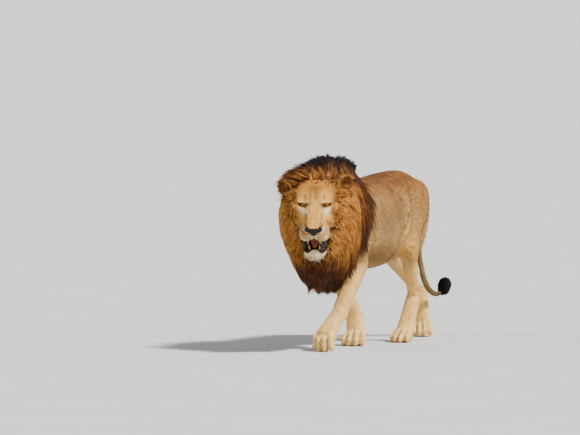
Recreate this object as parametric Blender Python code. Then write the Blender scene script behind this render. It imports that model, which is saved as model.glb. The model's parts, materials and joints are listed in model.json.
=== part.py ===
"""Adult male lion in mid-stride, at life size, as solids that meet at thin cuts.

Body frame, in metres: the lion walks towards -Y, its left side is +X, +Z is up and its soles stand on
z = 0. Its shoulder blades are at y = 0. Head frame: the origin is midway between the eyes, -Y is where
the nose points and +Z is the crown. At the end the model is shifted so that its origin lies under the
middle of its outline.
"""

import math

import bmesh
import bpy
from mathutils import Euler, Matrix, Vector

# ---------------------------------------------------------------- driving dimensions
GAP = 0.0003  # width of the cut between two solids
RING = 20  # points round a cross-section
X_AXIS = Vector((1, 0, 0))
Y_AXIS = Vector((0, 1, 0))
Z_AXIS = Vector((0, 0, 1))

LEG_CUT = 0.405  # height at which the lower legs part from the body
TRUNK_CUTS = (0.34, 0.74)  # where ribs meet loins, and loins meet rump, along Y
NECK_CUT = -0.03  # where the neck meets the ribs, along Y

HEAD_AT = Vector((0.123, -0.46, 0.806))  # midway between the eyes
HEAD_YAW = math.radians(20.5)  # turned to its left
HEAD_PITCH = math.radians(27.5)  # nose down
EYE_SPREAD = 0.0635  # eyeball's centre from the middle plane of the head
EYE_DEPTH = 0.008
EYE_RADIUS = 0.0185
EARS = {  # base (x, y, z) and how far the ear leans out, in degrees
    "left": (0.122, 0.132, 0.004, 46),
    "right": (-0.135, 0.128, -0.018, 56),
}
UPPER_CANINE = (0.031, -0.124, -0.126, 0.033, -0.130, -0.172, 0.0075)
LOWER_CANINE = (0.026, -0.112, -0.214, 0.029, -0.122, -0.172, 0.0068)

HIP_Y = 0.95
FORE_PAW_WIDTH = 0.135
HIND_PAW_WIDTH = 0.118

# Where each leg's joints are: the leg on the left reaches forward, the one on the right pushes off.
FORE_LEFT = {
    "blade": Vector((0.098, 0.060, 0.890)),
    "shoulder": Vector((0.132, -0.075, 0.665)),
    "elbow": Vector((0.132, 0.110, 0.485)),
    "wrist": Vector((0.086, -0.055, 0.205)),
    "toes": Vector((0.046, -0.150, 0.049)),
}
FORE_RIGHT = {
    "blade": Vector((-0.098, 0.120, 0.890)),
    "shoulder": Vector((-0.132, 0.050, 0.660)),
    "elbow": Vector((-0.126, 0.305, 0.468)),
    "wrist": Vector((-0.045, 0.432, 0.165)),
    "toes": Vector((-0.030, 0.392, 0.023)),
}
HIND_LEFT = {
    "hip": Vector((0.094, HIP_Y, 0.790)),
    "knee": Vector((0.136, 0.755, 0.505)),
    "hock": Vector((0.088, 0.925, 0.245)),
    "toes": Vector((0.073, 0.808, 0.022)),
}
HIND_RIGHT = {
    "hip": Vector((-0.094, HIP_Y, 0.790)),
    "knee": Vector((-0.122, 1.105, 0.465)),
    "hock": Vector((-0.078, 1.395, 0.245)),
    "toes": Vector((-0.058, 1.378, 0.022)),
}


# ---------------------------------------------------------------- shared tools
def material(name, colour, roughness):
    """A plain coloured surface."""
    made = bpy.data.materials.new(name)
    made.use_nodes = True
    shader = made.node_tree.nodes["Principled BSDF"]
    shader.inputs["Base Color"].default_value = (*colour, 1)
    shader.inputs["Roughness"].default_value = roughness
    shader.inputs["Metallic"].default_value = 0.0
    return made


def new_object(name, bm):
    """An object that holds the bmesh, with its faces pointing out."""
    bmesh.ops.recalc_face_normals(bm, faces=bm.faces)
    mesh = bpy.data.meshes.new(name)
    bm.to_mesh(mesh)
    bm.free()
    made = bpy.data.objects.new(name, mesh)
    bpy.context.scene.collection.objects.link(made)
    return made


def remove(objects):
    for one in objects:
        bpy.data.objects.remove(one)


def copy_of(source, name):
    made = bpy.data.objects.new(name, source.data.copy())
    bpy.context.scene.collection.objects.link(made)
    return made


def bake_modifiers(target):
    """Replaces the object's mesh by what its modifiers make of it."""
    bpy.context.view_layer.update()
    graph = bpy.context.evaluated_depsgraph_get()
    mesh = bpy.data.meshes.new_from_object(target.evaluated_get(graph))
    target.modifiers.clear()
    target.data = mesh


def spline(values, steps):
    """Catmull-Rom points through rows of numbers, with `steps` spans between two rows."""
    rows = [values[0], *values, values[-1]]
    found = []
    for before, here, there, after in zip(rows, rows[1:], rows[2:], rows[3:]):
        for i in range(steps):
            t = i / steps
            weights = (
                0.5 * (-t + 2 * t**2 - t**3),
                0.5 * (2 - 5 * t**2 + 3 * t**3),
                0.5 * (t + 4 * t**2 - 3 * t**3),
                0.5 * (-(t**2) + t**3),
            )
            found.append([sum(w * v for w, v in zip(weights, four)) for four in zip(before, here, there, after)])
    found.append(list(values[-1]))
    return found


def super_ellipse(angle, power):
    """A point on a unit rounded square (power over 2) or rounded diamond (under 2)."""
    c, s = math.cos(angle), math.sin(angle)
    return (math.copysign(abs(c) ** (2 / power), c), math.copysign(abs(s) ** (2 / power), s))


def tube(name, stations, steps=4, lateral=X_AXIS, upper_power=2.2, lower_power=2.2):
    """A closed body lofted through cross-sections: (x, y, z, half width, reach above, reach below).

    On a leg, whose line runs down, "above" is its rear side and "below" its front.
    """
    bm = bmesh.new()
    rows = spline(stations, steps)
    centres = [Vector(row[:3]) for row in rows]
    rings = []
    for i, (row, centre) in enumerate(zip(rows, centres)):
        along = (centres[min(i + 1, len(rows) - 1)] - centres[max(i - 1, 0)]).normalized()
        above_way = lateral.cross(along).normalized()
        side_way = along.cross(above_way).normalized()
        ring = []
        for k in range(RING):
            angle = 2 * math.pi * k / RING
            above = math.sin(angle) > 0
            side, rise = super_ellipse(angle, upper_power if above else lower_power)
            reach = row[4] if above else row[5]
            ring.append(bm.verts.new(centre + side_way * (side * row[3]) + above_way * (rise * reach)))
        rings.append(ring)
    for first, second in zip(rings, rings[1:]):
        for k in range(RING):
            bm.faces.new((first[k], first[(k + 1) % RING], second[(k + 1) % RING], second[k]))
    for end, beyond in ((0, 1), (-1, -2)):
        inset = 0.35 * min(rows[end][3:6])
        tip = bm.verts.new(centres[end] + (centres[end] - centres[beyond]).normalized() * inset)
        for k in range(RING):
            bm.faces.new((rings[end][k], rings[end][(k + 1) % RING], tip))
    return new_object(name, bm)


def blob(name, centre, radii, turn=(0, 0, 0), segments=16, rings=10):
    """An ellipsoid, such as a muscle's belly; turn is in degrees about X, Y and Z."""
    bm = bmesh.new()
    place = Matrix.Translation(centre) @ Euler([math.radians(a) for a in turn]).to_matrix().to_4x4()
    bmesh.ops.create_uvsphere(
        bm, u_segments=segments, v_segments=rings, radius=1, matrix=place @ Matrix.Diagonal((*radii, 1))
    )
    return new_object(name, bm)


def spike(name, root, tip, width, sides=6):
    """A cone from root to tip, for a tooth, a claw or a hanging lock."""
    bm = bmesh.new()
    root, tip = Vector(root), Vector(tip)
    turn = (tip - root).to_track_quat("Z", "Y").to_matrix().to_4x4()
    bmesh.ops.create_cone(
        bm,
        cap_ends=True,
        segments=sides,
        radius1=width,
        radius2=0.12 * width,
        depth=(tip - root).length,
        matrix=Matrix.Translation((root + tip) / 2) @ turn,
    )
    return new_object(name, bm)


def joined(name, pieces):
    """One object that holds every piece's mesh, still overlapping."""
    bm = bmesh.new()
    for piece in pieces:
        bm.from_mesh(piece.data)
    remove(pieces)
    return new_object(name, bm)


def fuse(name, pieces, voxel, smoothing, triangles=None):
    """Melts overlapping pieces into one skin: a voxel remesh, some smoothing and a face count."""
    made = joined(name, pieces)
    melt = made.modifiers.new("melt", "REMESH")
    melt.mode = "VOXEL"
    melt.voxel_size = voxel
    ease = made.modifiers.new("ease", "SMOOTH")
    ease.factor = 0.5
    ease.iterations = smoothing
    bake_modifiers(made)
    if triangles:
        thin_out(made, triangles)
    return made


def thin_out(target, triangles):
    """Collapses edges, flattest first, down to about this many triangles."""
    target.data.calc_loop_triangles()
    thin = target.modifiers.new("thin", "DECIMATE")
    thin.ratio = min(1.0, triangles / len(target.data.loop_triangles))
    thin.use_collapse_triangulate = True
    bake_modifiers(target)


def grown(source, name, amount=GAP):
    """A copy with every point moved outwards, to cut a neighbour clear of the source."""
    made = copy_of(source, name)
    bm = bmesh.new()
    bm.from_mesh(made.data)
    bm.normal_update()
    for vert in bm.verts:
        vert.co += vert.normal * amount
    bm.to_mesh(made.data)
    bm.free()
    return made


def carve(target, cutter, operation="DIFFERENCE"):
    """Boolean by the exact solver; the cutter goes."""
    cut = target.modifiers.new("cut", "BOOLEAN")
    cut.operation = operation
    cut.object = cutter
    bake_modifiers(target)
    remove([cutter])


def slice_off(target, point, normal):
    """Keeps what lies on the side of the plane that its normal points to, and closes the cut."""
    bm = bmesh.new()
    bm.from_mesh(target.data)
    bmesh.ops.bisect_plane(
        bm,
        geom=[*bm.verts, *bm.edges, *bm.faces],
        dist=1e-7,
        plane_co=point,
        plane_no=normal,
        clear_inner=True,
    )
    rims = [edge for edge in bm.edges if edge.is_boundary]
    bmesh.ops.holes_fill(bm, edges=rims, sides=0)
    bmesh.ops.recalc_face_normals(bm, faces=bm.faces)
    bm.to_mesh(target.data)
    bm.free()
    return target


def halves(source, point, normal):
    """Two solids from one: the side that the normal points to, then the other, a cut apart."""
    point, normal = Vector(point), Vector(normal).normalized()
    ahead = slice_off(copy_of(source, "ahead"), point + normal * GAP / 2, normal)
    behind = slice_off(copy_of(source, "behind"), point - normal * GAP / 2, -normal)
    remove([source])
    return ahead, behind


def region(planes, shrink=0.0):
    """A convex cutter: a large box cut by (point, normal) planes; normals point into the region."""
    bm = bmesh.new()
    bmesh.ops.create_cube(bm, size=6.0)
    made = new_object("region", bm)
    for point, normal in planes:
        inward = Vector(normal).normalized()
        slice_off(made, Vector(point) + inward * shrink, inward)
    return made


def take(body, planes):
    """Cuts the region out of the body and returns it as a solid of its own."""
    part = copy_of(body, "part")
    carve(part, region(planes, shrink=GAP / 2), "INTERSECT")
    carve(body, region(planes, shrink=-GAP / 2))
    return part


def largest_piece(target):
    """Drops the crumbs that a cut can leave beside the main piece."""
    bm = bmesh.new()
    bm.from_mesh(target.data)
    left, islands = set(bm.faces), []
    while left:
        front = [left.pop()]
        island = list(front)
        while front:
            near = {f for e in front.pop().edges for f in e.link_faces} & left
            left -= near
            front += near
            island += near
        islands.append(island)
    islands.sort(key=len)
    for island in islands[:-1]:
        bmesh.ops.delete(bm, geom=island, context="FACES")
    bmesh.ops.delete(bm, geom=[v for v in bm.verts if not v.link_faces], context="VERTS")
    bm.to_mesh(target.data)
    bm.free()
    return target


NODES = []


def node(target, name, surface):
    """Makes the object one of the model's named solids."""
    largest_piece(target)
    target.name = target.data.name = name
    target.data.materials.clear()
    target.data.materials.append(surface)
    target.data.shade_smooth()
    target.data.set_sharp_from_angle(angle=math.radians(50))
    NODES.append(target)


# ---------------------------------------------------------------- body
def trunk():
    """Barrel of the body: (y, top, bottom, half width) from the breast to the root of the tail."""
    outline = (
        (-0.165, 0.800, 0.560, 0.095),
        (-0.080, 0.905, 0.480, 0.150),
        (0.060, 0.965, 0.435, 0.180),
        (0.240, 0.945, 0.417, 0.198),
        (0.420, 0.930, 0.417, 0.205),
        (0.560, 0.942, 0.432, 0.205),
        (0.680, 0.958, 0.470, 0.182),
        (0.800, 0.968, 0.530, 0.145),
        (0.910, 0.968, 0.590, 0.122),
        (1.010, 0.938, 0.655, 0.098),
        (1.090, 0.885, 0.725, 0.060),
    )
    stations = []
    for y, top, bottom, half_width in outline:
        middle = bottom + 0.54 * (top - bottom)
        stations.append((0.0, y, middle, half_width, top - middle, middle - bottom))
    return tube("trunk", stations, upper_power=2.05, lower_power=2.25)


def neck():
    """From inside the shoulders up to the back of the skull, bending to the left with the head."""
    stations = (
        (0.000, 0.060, 0.760, 0.150, 0.200, 0.220),
        (0.012, -0.080, 0.790, 0.140, 0.172, 0.190),
        (0.045, -0.200, 0.815, 0.128, 0.148, 0.165),
        (0.078, -0.300, 0.835, 0.118, 0.128, 0.150),
        (0.092, -0.350, 0.840, 0.108, 0.108, 0.130),
    )
    return tube("neck", stations)


def between(joints, first, second, share):
    return joints[first].lerp(joints[second], share)


def station(point, half_width, rear, front):
    return (*point, half_width, rear, front)


def foreleg(name, joints):
    """Shoulder blade down to the wrist, with the point of the elbow behind."""
    stations = (
        station(joints["blade"], 0.050, 0.080, 0.085),
        station(between(joints, "blade", "shoulder", 0.5), 0.062, 0.105, 0.100),
        station(joints["shoulder"], 0.066, 0.105, 0.085),
        station(between(joints, "shoulder", "elbow", 0.55), 0.064, 0.088, 0.080),
        station(joints["elbow"], 0.058, 0.062, 0.060),
        station(between(joints, "elbow", "wrist", 0.28), 0.055, 0.052, 0.056),
        station(between(joints, "elbow", "wrist", 0.62), 0.050, 0.044, 0.047),
        station(between(joints, "elbow", "wrist", 0.88), 0.048, 0.043, 0.043),
        station(joints["wrist"], 0.050, 0.045, 0.043),
    )
    elbow_point = joints["elbow"] + Vector((0, 0.046, 0.022))
    return [tube(name, stations), blob(name + "_elbow", elbow_point, (0.030, 0.034, 0.040))]


def hindleg(name, joints):
    """Hip down to the hock: a broad thigh, a lean shank and the heel's point behind."""
    stations = (
        station(joints["hip"] + Vector((0, -0.04, 0.060)), 0.052, 0.080, 0.110),
        station(joints["hip"], 0.074, 0.130, 0.150),
        station(between(joints, "hip", "knee", 0.5), 0.078, 0.128, 0.118),
        station(between(joints, "hip", "knee", 0.85), 0.068, 0.095, 0.078),
        station(joints["knee"], 0.060, 0.078, 0.060),
        station(between(joints, "knee", "hock", 0.3), 0.052, 0.064, 0.047),
        station(between(joints, "knee", "hock", 0.62), 0.043, 0.048, 0.038),
        station(between(joints, "knee", "hock", 0.88), 0.035, 0.036, 0.032),
        station(joints["hock"], 0.036, 0.036, 0.034),
    )
    heel = joints["hock"] + Vector((0, 0.030, 0.014))
    return [tube(name, stations), blob(name + "_heel", heel, (0.022, 0.022, 0.034))]


def paw(name, ankle, toes, width, height, bend):
    """Foot below the ankle: the wedge of the palm and four toes, each a knuckle and a tip.

    toes is the middle of the toe row. The toes point from the ankle to there, and bend (degrees) is
    how far the foot tips down from flat.
    """
    heading = Vector((toes.x - ankle.x, toes.y - ankle.y, 0)).normalized()
    turn = Matrix.Rotation(0.5 * math.atan2(heading.x, -heading.y), 4, "Z")
    frame = Matrix.Translation(toes) @ turn @ Matrix.Rotation(math.radians(bend), 4, "X")
    facing = math.degrees(turn.to_euler().z)
    pieces = []
    spacing = width * 0.262
    for i, place in enumerate((-1.5, -0.5, 0.5, 1.5)):
        forward = -0.024 if abs(place) < 1 else 0.000
        splay = facing + 9 * place
        knuckle = frame @ Vector((place * spacing * 0.92, forward + 0.006, height * 0.50))
        tip = frame @ Vector((place * spacing * 1.02, forward - 0.028, 0.000))
        radii = (spacing * 0.54, 0.040, height * 0.50)
        pieces.append(blob(f"{name}_knuckle{i}", knuckle, radii, (bend + 28, 0, splay)))
        radii = (spacing * 0.55, 0.027, height * 0.52)
        pieces.append(blob(f"{name}_tip{i}", tip, radii, (bend + 8, 0, splay)))
    palm = frame @ Vector((0, 0.036, 0.002))
    pieces.append(blob(name + "_palm", palm, (width * 0.43, 0.048, height * 0.58), (bend, 0, facing)))
    arch = frame @ Vector((0, 0.004, height * 0.34))
    pieces.append(blob(name + "_arch", arch, (width * 0.46, 0.056, height * 0.60), (bend + 14, 0, facing)))
    instep = frame @ Vector((0, 0.022, height * 0.62))
    middle = ankle.lerp(instep, 0.5)
    stations = (
        station(ankle, width * 0.35, 0.038, 0.038),
        station(middle, width * 0.38, 0.042, 0.036),
        station(instep, width * 0.45, 0.042, 0.032),
    )
    pieces.append(tube(name + "_instep", stations))
    pieces.append(blob(name + "_ankle", ankle, (width * 0.36, 0.044, 0.050)))
    return pieces


def muscles():
    """Forms that break the smooth barrel: shoulder caps, haunches, loin ridge and belly."""
    return [
        blob("shoulder_cap_left", (0.142, -0.010, 0.740), (0.052, 0.110, 0.150), (12, 0, 0)),
        blob("shoulder_cap_right", (-0.142, 0.060, 0.740), (0.052, 0.115, 0.150), (-6, 0, 0)),
        blob("haunch_left", (0.106, 0.905, 0.745), (0.074, 0.140, 0.160), (-18, 0, 0)),
        blob("haunch_right", (-0.104, 0.970, 0.740), (0.074, 0.140, 0.160), (22, 0, 0)),
        blob("buttock_left", (0.078, 1.015, 0.740), (0.062, 0.072, 0.115)),
        blob("buttock_right", (-0.078, 1.040, 0.730), (0.062, 0.078, 0.115)),
        blob("hip_point_left", (0.098, 0.800, 0.882), (0.036, 0.075, 0.040)),
        blob("hip_point_right", (-0.098, 0.810, 0.882), (0.036, 0.075, 0.040)),
        blob("belly", (0, 0.450, 0.545), (0.195, 0.230, 0.128)),
        blob("brisket", (0, -0.050, 0.560), (0.110, 0.130, 0.120)),
        blob("groin", (0, 0.830, 0.600), (0.075, 0.110, 0.070)),
    ]


def whole_body():
    """Everything but the head, tail and mane, as one skin with flat soles."""
    core = [trunk(), neck(), *muscles()]
    core += foreleg("fore_left", FORE_LEFT) + foreleg("fore_right", FORE_RIGHT)
    core += hindleg("hind_left", HIND_LEFT) + hindleg("hind_right", HIND_RIGHT)
    rough = fuse("rough", core, voxel=0.011, smoothing=12)
    feet = paw("pfl", FORE_LEFT["wrist"], FORE_LEFT["toes"], FORE_PAW_WIDTH, 0.056, 48)
    feet += paw("pfr", FORE_RIGHT["wrist"], FORE_RIGHT["toes"], FORE_PAW_WIDTH, 0.056, 0)
    feet += paw("phl", HIND_LEFT["hock"], HIND_LEFT["toes"], HIND_PAW_WIDTH, 0.052, 0)
    feet += paw("phr", HIND_RIGHT["hock"], HIND_RIGHT["toes"], HIND_PAW_WIDTH, 0.052, 0)
    body = fuse("body", [rough, *feet], voxel=0.0062, smoothing=3, triangles=1950)
    return slice_off(body, (0, 0, 0), Z_AXIS)


# ---------------------------------------------------------------- head
def head_place():
    """Matrix from the head frame to the body frame."""
    turn = Euler((HEAD_PITCH, 0, HEAD_YAW)).to_matrix().to_4x4()
    return Matrix.Translation(HEAD_AT) @ turn


def pair(name, centre, radii, turn=(0, 0, 0)):
    """The same blob on the left and, mirrored, on the right."""
    x, y, z = centre
    a, b, c = turn
    return [
        blob(name + "_left", (x, y, z), radii, (a, b, c)),
        blob(name + "_right", (-x, y, z), radii, (a, -b, -c)),
    ]


def skull():
    """Muzzle, bridge of the nose, brow and cranium: (y, z, half width, above, below)."""
    sections = (
        (-0.146, -0.092, 0.036, 0.038, 0.034),
        (-0.132, -0.090, 0.052, 0.045, 0.046),
        (-0.105, -0.083, 0.060, 0.051, 0.060),
        (-0.065, -0.070, 0.064, 0.055, 0.074),
        (-0.025, -0.058, 0.084, 0.065, 0.084),
        (0.015, -0.048, 0.108, 0.078, 0.094),
        (0.055, -0.040, 0.121, 0.098, 0.104),
        (0.095, -0.034, 0.124, 0.110, 0.110),
        (0.140, -0.034, 0.118, 0.112, 0.112),
        (0.190, -0.040, 0.108, 0.104, 0.108),
        (0.235, -0.050, 0.104, 0.094, 0.100),
    )
    return tube("skull", [(0, y, z, w, up, down) for y, z, w, up, down in sections], upper_power=2.5)


def face_forms():
    """The masses that shape a big cat's face over the skull."""
    forms = [
        blob("bridge", (0, -0.082, -0.044), (0.045, 0.080, 0.026), (20, 0, 0)),
        blob("stop", (0, -0.004, -0.012), (0.052, 0.070, 0.030), (28, 0, 0)),
        blob("forehead", (0, 0.066, 0.028), (0.098, 0.080, 0.044), (22, 0, 0)),
        blob("nose_root", (0, -0.132, -0.070), (0.040, 0.024, 0.028)),
    ]
    forms += pair("whisker_pad", (0.038, -0.114, -0.113), (0.045, 0.046, 0.043), (0, 14, 0))
    forms += pair("flew", (0.055, -0.076, -0.128), (0.030, 0.056, 0.042), (0, 8, 12))
    forms += pair("brow", (0.056, 0.036, 0.016), (0.046, 0.044, 0.020), (16, 10, 0))
    forms += pair("cheekbone", (0.088, 0.040, -0.024), (0.038, 0.066, 0.054), (0, 0, 24))
    forms += pair("cheek", (0.086, 0.040, -0.088), (0.040, 0.070, 0.064))
    forms += pair("cheek_front", (0.062, -0.012, -0.086), (0.038, 0.052, 0.054), (0, 0, 20))
    forms += pair("jowl", (0.084, 0.078, -0.124), (0.044, 0.062, 0.064))
    forms += pair("temple", (0.080, 0.082, 0.004), (0.043, 0.064, 0.056))
    return forms


def lower_jaw():
    """The mandible, dropped open: (y, z, half width, above, below)."""
    sections = (
        (-0.126, -0.232, 0.040, 0.026, 0.030),
        (-0.110, -0.236, 0.060, 0.036, 0.046),
        (-0.076, -0.232, 0.067, 0.034, 0.050),
        (-0.030, -0.214, 0.070, 0.034, 0.050),
        (0.020, -0.188, 0.078, 0.042, 0.052),
        (0.080, -0.156, 0.086, 0.054, 0.056),
        (0.150, -0.134, 0.090, 0.062, 0.060),
    )
    return tube("mandible", [(0, y, z, w, up, down) for y, z, w, up, down in sections])


def eye_place(side):
    return Vector((side * EYE_SPREAD, EYE_DEPTH, 0))


def eye_opening(side):
    """An almond-shaped way out for each eye, tipped up at its outer corner."""
    turn = (-24, side * 12, side * 12)
    return blob("opening", (side * 0.0660, -0.012, 0.006), (0.0215, 0.036, 0.0130), turn, 14, 8)


def ear(name, x, y, z, lean_out):
    """A rounded cup that faces forward and out: a sheet curled to a bowl, then given thickness."""
    bm = bmesh.new()
    across, rise = 10, 9
    width, height, hollow = 0.054, 0.106, 0.030
    grid = []
    for j in range(rise + 1):
        v = j / rise
        spread = width * math.sqrt(max(0.0, 1 - (2 * v - 0.86) ** 2 / 1.30)) * (0.86 + 0.14 * v)
        row = []
        for i in range(across + 1):
            u = 2 * i / across - 1
            bowl = hollow * (1 - u * u) * math.sin(math.pi * min(1.0, 0.25 + 0.75 * (1 - v)))
            row.append(bm.verts.new((u * spread, bowl, v * height)))
        grid.append(row)
    for low, high in zip(grid, grid[1:]):
        for i in range(across):
            bm.faces.new((low[i], low[i + 1], high[i + 1], high[i]))
    bmesh.ops.remove_doubles(bm, verts=bm.verts, dist=1e-4)
    made = new_object(name, bm)
    shell = made.modifiers.new("shell", "SOLIDIFY")
    shell.thickness = 0.011
    shell.offset = 0
    bake_modifiers(made)
    base = blob("ear_base", (0, 0.016, 0.002), (0.042, 0.028, 0.030))
    made = fuse(name, [made, base], voxel=0.0045, smoothing=2, triangles=170)
    side = math.copysign(1, x)
    lean = Euler((math.radians(-8), math.radians(side * lean_out), math.radians(side * 26)))
    made.data.transform(Matrix.Translation((x, y, z)) @ lean.to_matrix().to_4x4())
    return made


def canines(row):
    """A pair of long teeth from (side, root y, root z, tip side, tip y, tip z, width)."""
    x, y, z, tip_x, tip_y, tip_z, width = row
    return [spike("canine", (s * x, y, z), (s * tip_x, tip_y, tip_z), width) for s in (-1, 1)]


def head_parts():
    """Head, jaw, nose, eyes, ears and tongue, in the body frame, as a dictionary of solids."""
    whole = fuse("head", [skull(), *face_forms(), lower_jaw()], voxel=0.0046, smoothing=9)
    carve(whole, blob("mouth_hollow", (0, -0.052, -0.180), (0.052, 0.078, 0.026), (-16, 0, 0)))
    thin_out(whole, 760)
    slice_off(whole, (0, 0.155, -0.03), (0, -1, 0.12))
    parts = {"nose": blob("nose", (0, -0.145, -0.067), (0.049, 0.023, 0.020), (-20, 0, 0), 14, 9)}
    parts["nose_tip"] = blob("nose_tip", (0, -0.153, -0.083), (0.017, 0.014, 0.018), (0, 0, 0), 10, 8)
    parts["nose"] = fuse("nose", [parts["nose"], parts.pop("nose_tip")], 0.0035, 2, 130)
    for name, side in (("left", 1), ("right", -1)):
        parts["eye_" + name] = blob("eye", eye_place(side), (EYE_RADIUS,) * 3, (90, 0, 0), 12, 7)
        carve(whole, blob("socket", eye_place(side), (EYE_RADIUS + GAP * 3,) * 3, (90, 0, 0), 12, 7))
        carve(whole, eye_opening(side))
        parts["ear_" + name] = ear("ear_" + name, *EARS[name])
        carve(whole, grown(parts["ear_" + name], "ear_cut", 0.0008))
    carve(whole, grown(parts["nose"], "nose_cut", 0.0008))
    upper, lower = halves(whole, (0, -0.115, -0.184), (0, 0.24, 1))
    for tooth in canines(UPPER_CANINE):
        carve(upper, tooth, "UNION")
    for tooth in canines(LOWER_CANINE):
        carve(lower, tooth, "UNION")
    tongue_line = ((-0.106, -0.200), (-0.090, -0.194), (-0.055, -0.192), (-0.015, -0.186), (0.005, -0.184))
    tongue_widths = (0.012, 0.022, 0.026, 0.026, 0.018)
    stations = [
        (0, y, z, w, 0.008, 0.012) for (y, z), w in zip(tongue_line, tongue_widths)
    ]
    parts["tongue"] = tube("tongue", stations, steps=1)
    for other in (upper, lower):
        carve(other, grown(parts["tongue"], "tongue_cut", 0.001))
    parts["head"], parts["jaw"] = upper, lower
    place = head_place()
    for one in parts.values():
        one.data.transform(place)
    return parts


# ---------------------------------------------------------------- tail and mane
TAIL = (
    (0.000, 0.990, 0.880, 0.036),
    (0.000, 1.060, 0.845, 0.032),
    (0.002, 1.120, 0.765, 0.028),
    (0.004, 1.158, 0.660, 0.026),
    (0.006, 1.172, 0.550, 0.024),
    (0.008, 1.186, 0.450, 0.022),
    (0.012, 1.226, 0.350, 0.021),
    (0.016, 1.300, 0.272, 0.020),
    (0.018, 1.385, 0.240, 0.019),
    (0.022, 1.452, 0.246, 0.018),
)
TUFT = (
    (0.022, 1.452, 0.246, 0.018, 0.018, 0.018),
    (0.024, 1.480, 0.260, 0.030, 0.030, 0.030),
    (0.027, 1.498, 0.290, 0.037, 0.037, 0.037),
    (0.030, 1.502, 0.320, 0.033, 0.034, 0.034),
    (0.032, 1.496, 0.346, 0.012, 0.012, 0.012),
)


def tail_parts():
    """The tail hangs, then curls back to its dark tuft; it is divided into three lengths and the tuft."""
    whole = tube("tail", [(x, y, z, r, r, r) for x, y, z, r in TAIL], steps=3)
    thin_out(whole, 260)
    root, rest = halves(whole, (0, 1.20, 0.70), (0, 0.1, 1))
    middle, end = halves(rest, (0, 1.26, 0.36), (0, -0.5, 1))
    slice_off(end, TAIL[-1][:3], (0, -1, -0.1))
    tuft = tube("tuft", TUFT, steps=3)
    thin_out(tuft, 120)
    slice_off(tuft, Vector(TAIL[-1][:3]) + Vector((0, GAP, 0)), (0, 1, 0.1))
    return {"tail_root": root, "tail_middle": middle, "tail_end": end, "tail_tuft": tuft}


def lock(name, root, tip, width):
    return spike(name, root, tip, width, sides=7)


def mane_outline():
    """The whole mane as one form: ruff, crest, shoulders, beard and bib, with its largest locks."""
    back = Vector((-math.sin(HEAD_YAW), math.cos(HEAD_YAW), 0))
    ruff = []
    for behind, height, half_width, above, below in (
        (0.080, 0.775, 0.130, 0.155, 0.185),
        (0.102, 0.775, 0.176, 0.216, 0.275),
        (0.150, 0.770, 0.208, 0.240, 0.350),
    ):
        centre = HEAD_AT + back * behind
        ruff.append((centre.x, centre.y, height, half_width, above, below))
    stations = (
        *ruff,
        (0.048, -0.235, 0.770, 0.216, 0.260, 0.385),
        (0.026, -0.115, 0.765, 0.218, 0.278, 0.400),
        (0.008, 0.000, 0.765, 0.216, 0.280, 0.330),
        (0.004, 0.100, 0.785, 0.198, 0.258, 0.225),
        (0.004, 0.190, 0.830, 0.155, 0.198, 0.120),
        (0.010, 0.270, 0.890, 0.090, 0.100, 0.050),
    )
    forms = [tube("ruff", stations, upper_power=2.1, lower_power=1.85)]
    chin = HEAD_AT + back * 0.085
    beard = (
        (chin.x, chin.y, 0.600, 0.120, 0.150, 0.050),
        (chin.x - 0.01, chin.y + 0.005, 0.510, 0.128, 0.150, 0.052),
        (chin.x - 0.02, chin.y + 0.015, 0.430, 0.090, 0.130, 0.046),
        (chin.x - 0.03, chin.y + 0.030, 0.372, 0.046, 0.080, 0.030),
    )
    forms.append(tube("beard", beard))
    for k in range(5):
        side = (k - 2) * 0.040
        root = (chin.x - 0.02 + side, chin.y + 0.020, 0.450)
        tip = (chin.x - 0.03 + 0.8 * side, chin.y + 0.045, 0.335 + 0.9 * abs(side))
        forms.append(lock("beard", root, tip, 0.036))
    for k in range(6):
        y = -0.250 + 0.045 * k
        forms.append(lock("bib", (0.03, y, 0.47), (0.035, y + 0.02, 0.300 + 0.08 * abs(k - 3) / 3), 0.045))
    for k in range(9):
        y = -0.240 + 0.050 * k
        x = 0.080 * max(0.0, -y / 0.35)
        for side in (-1, 1):
            root = (x + side * 0.045, y, 0.975)
            tip = (x + side * 0.055, y + 0.060, 1.066 - 0.20 * abs(y + 0.05))
            forms.append(lock("crest", root, tip, 0.042))
    return fuse("mane", forms, voxel=0.009, smoothing=3, triangles=720)


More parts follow.
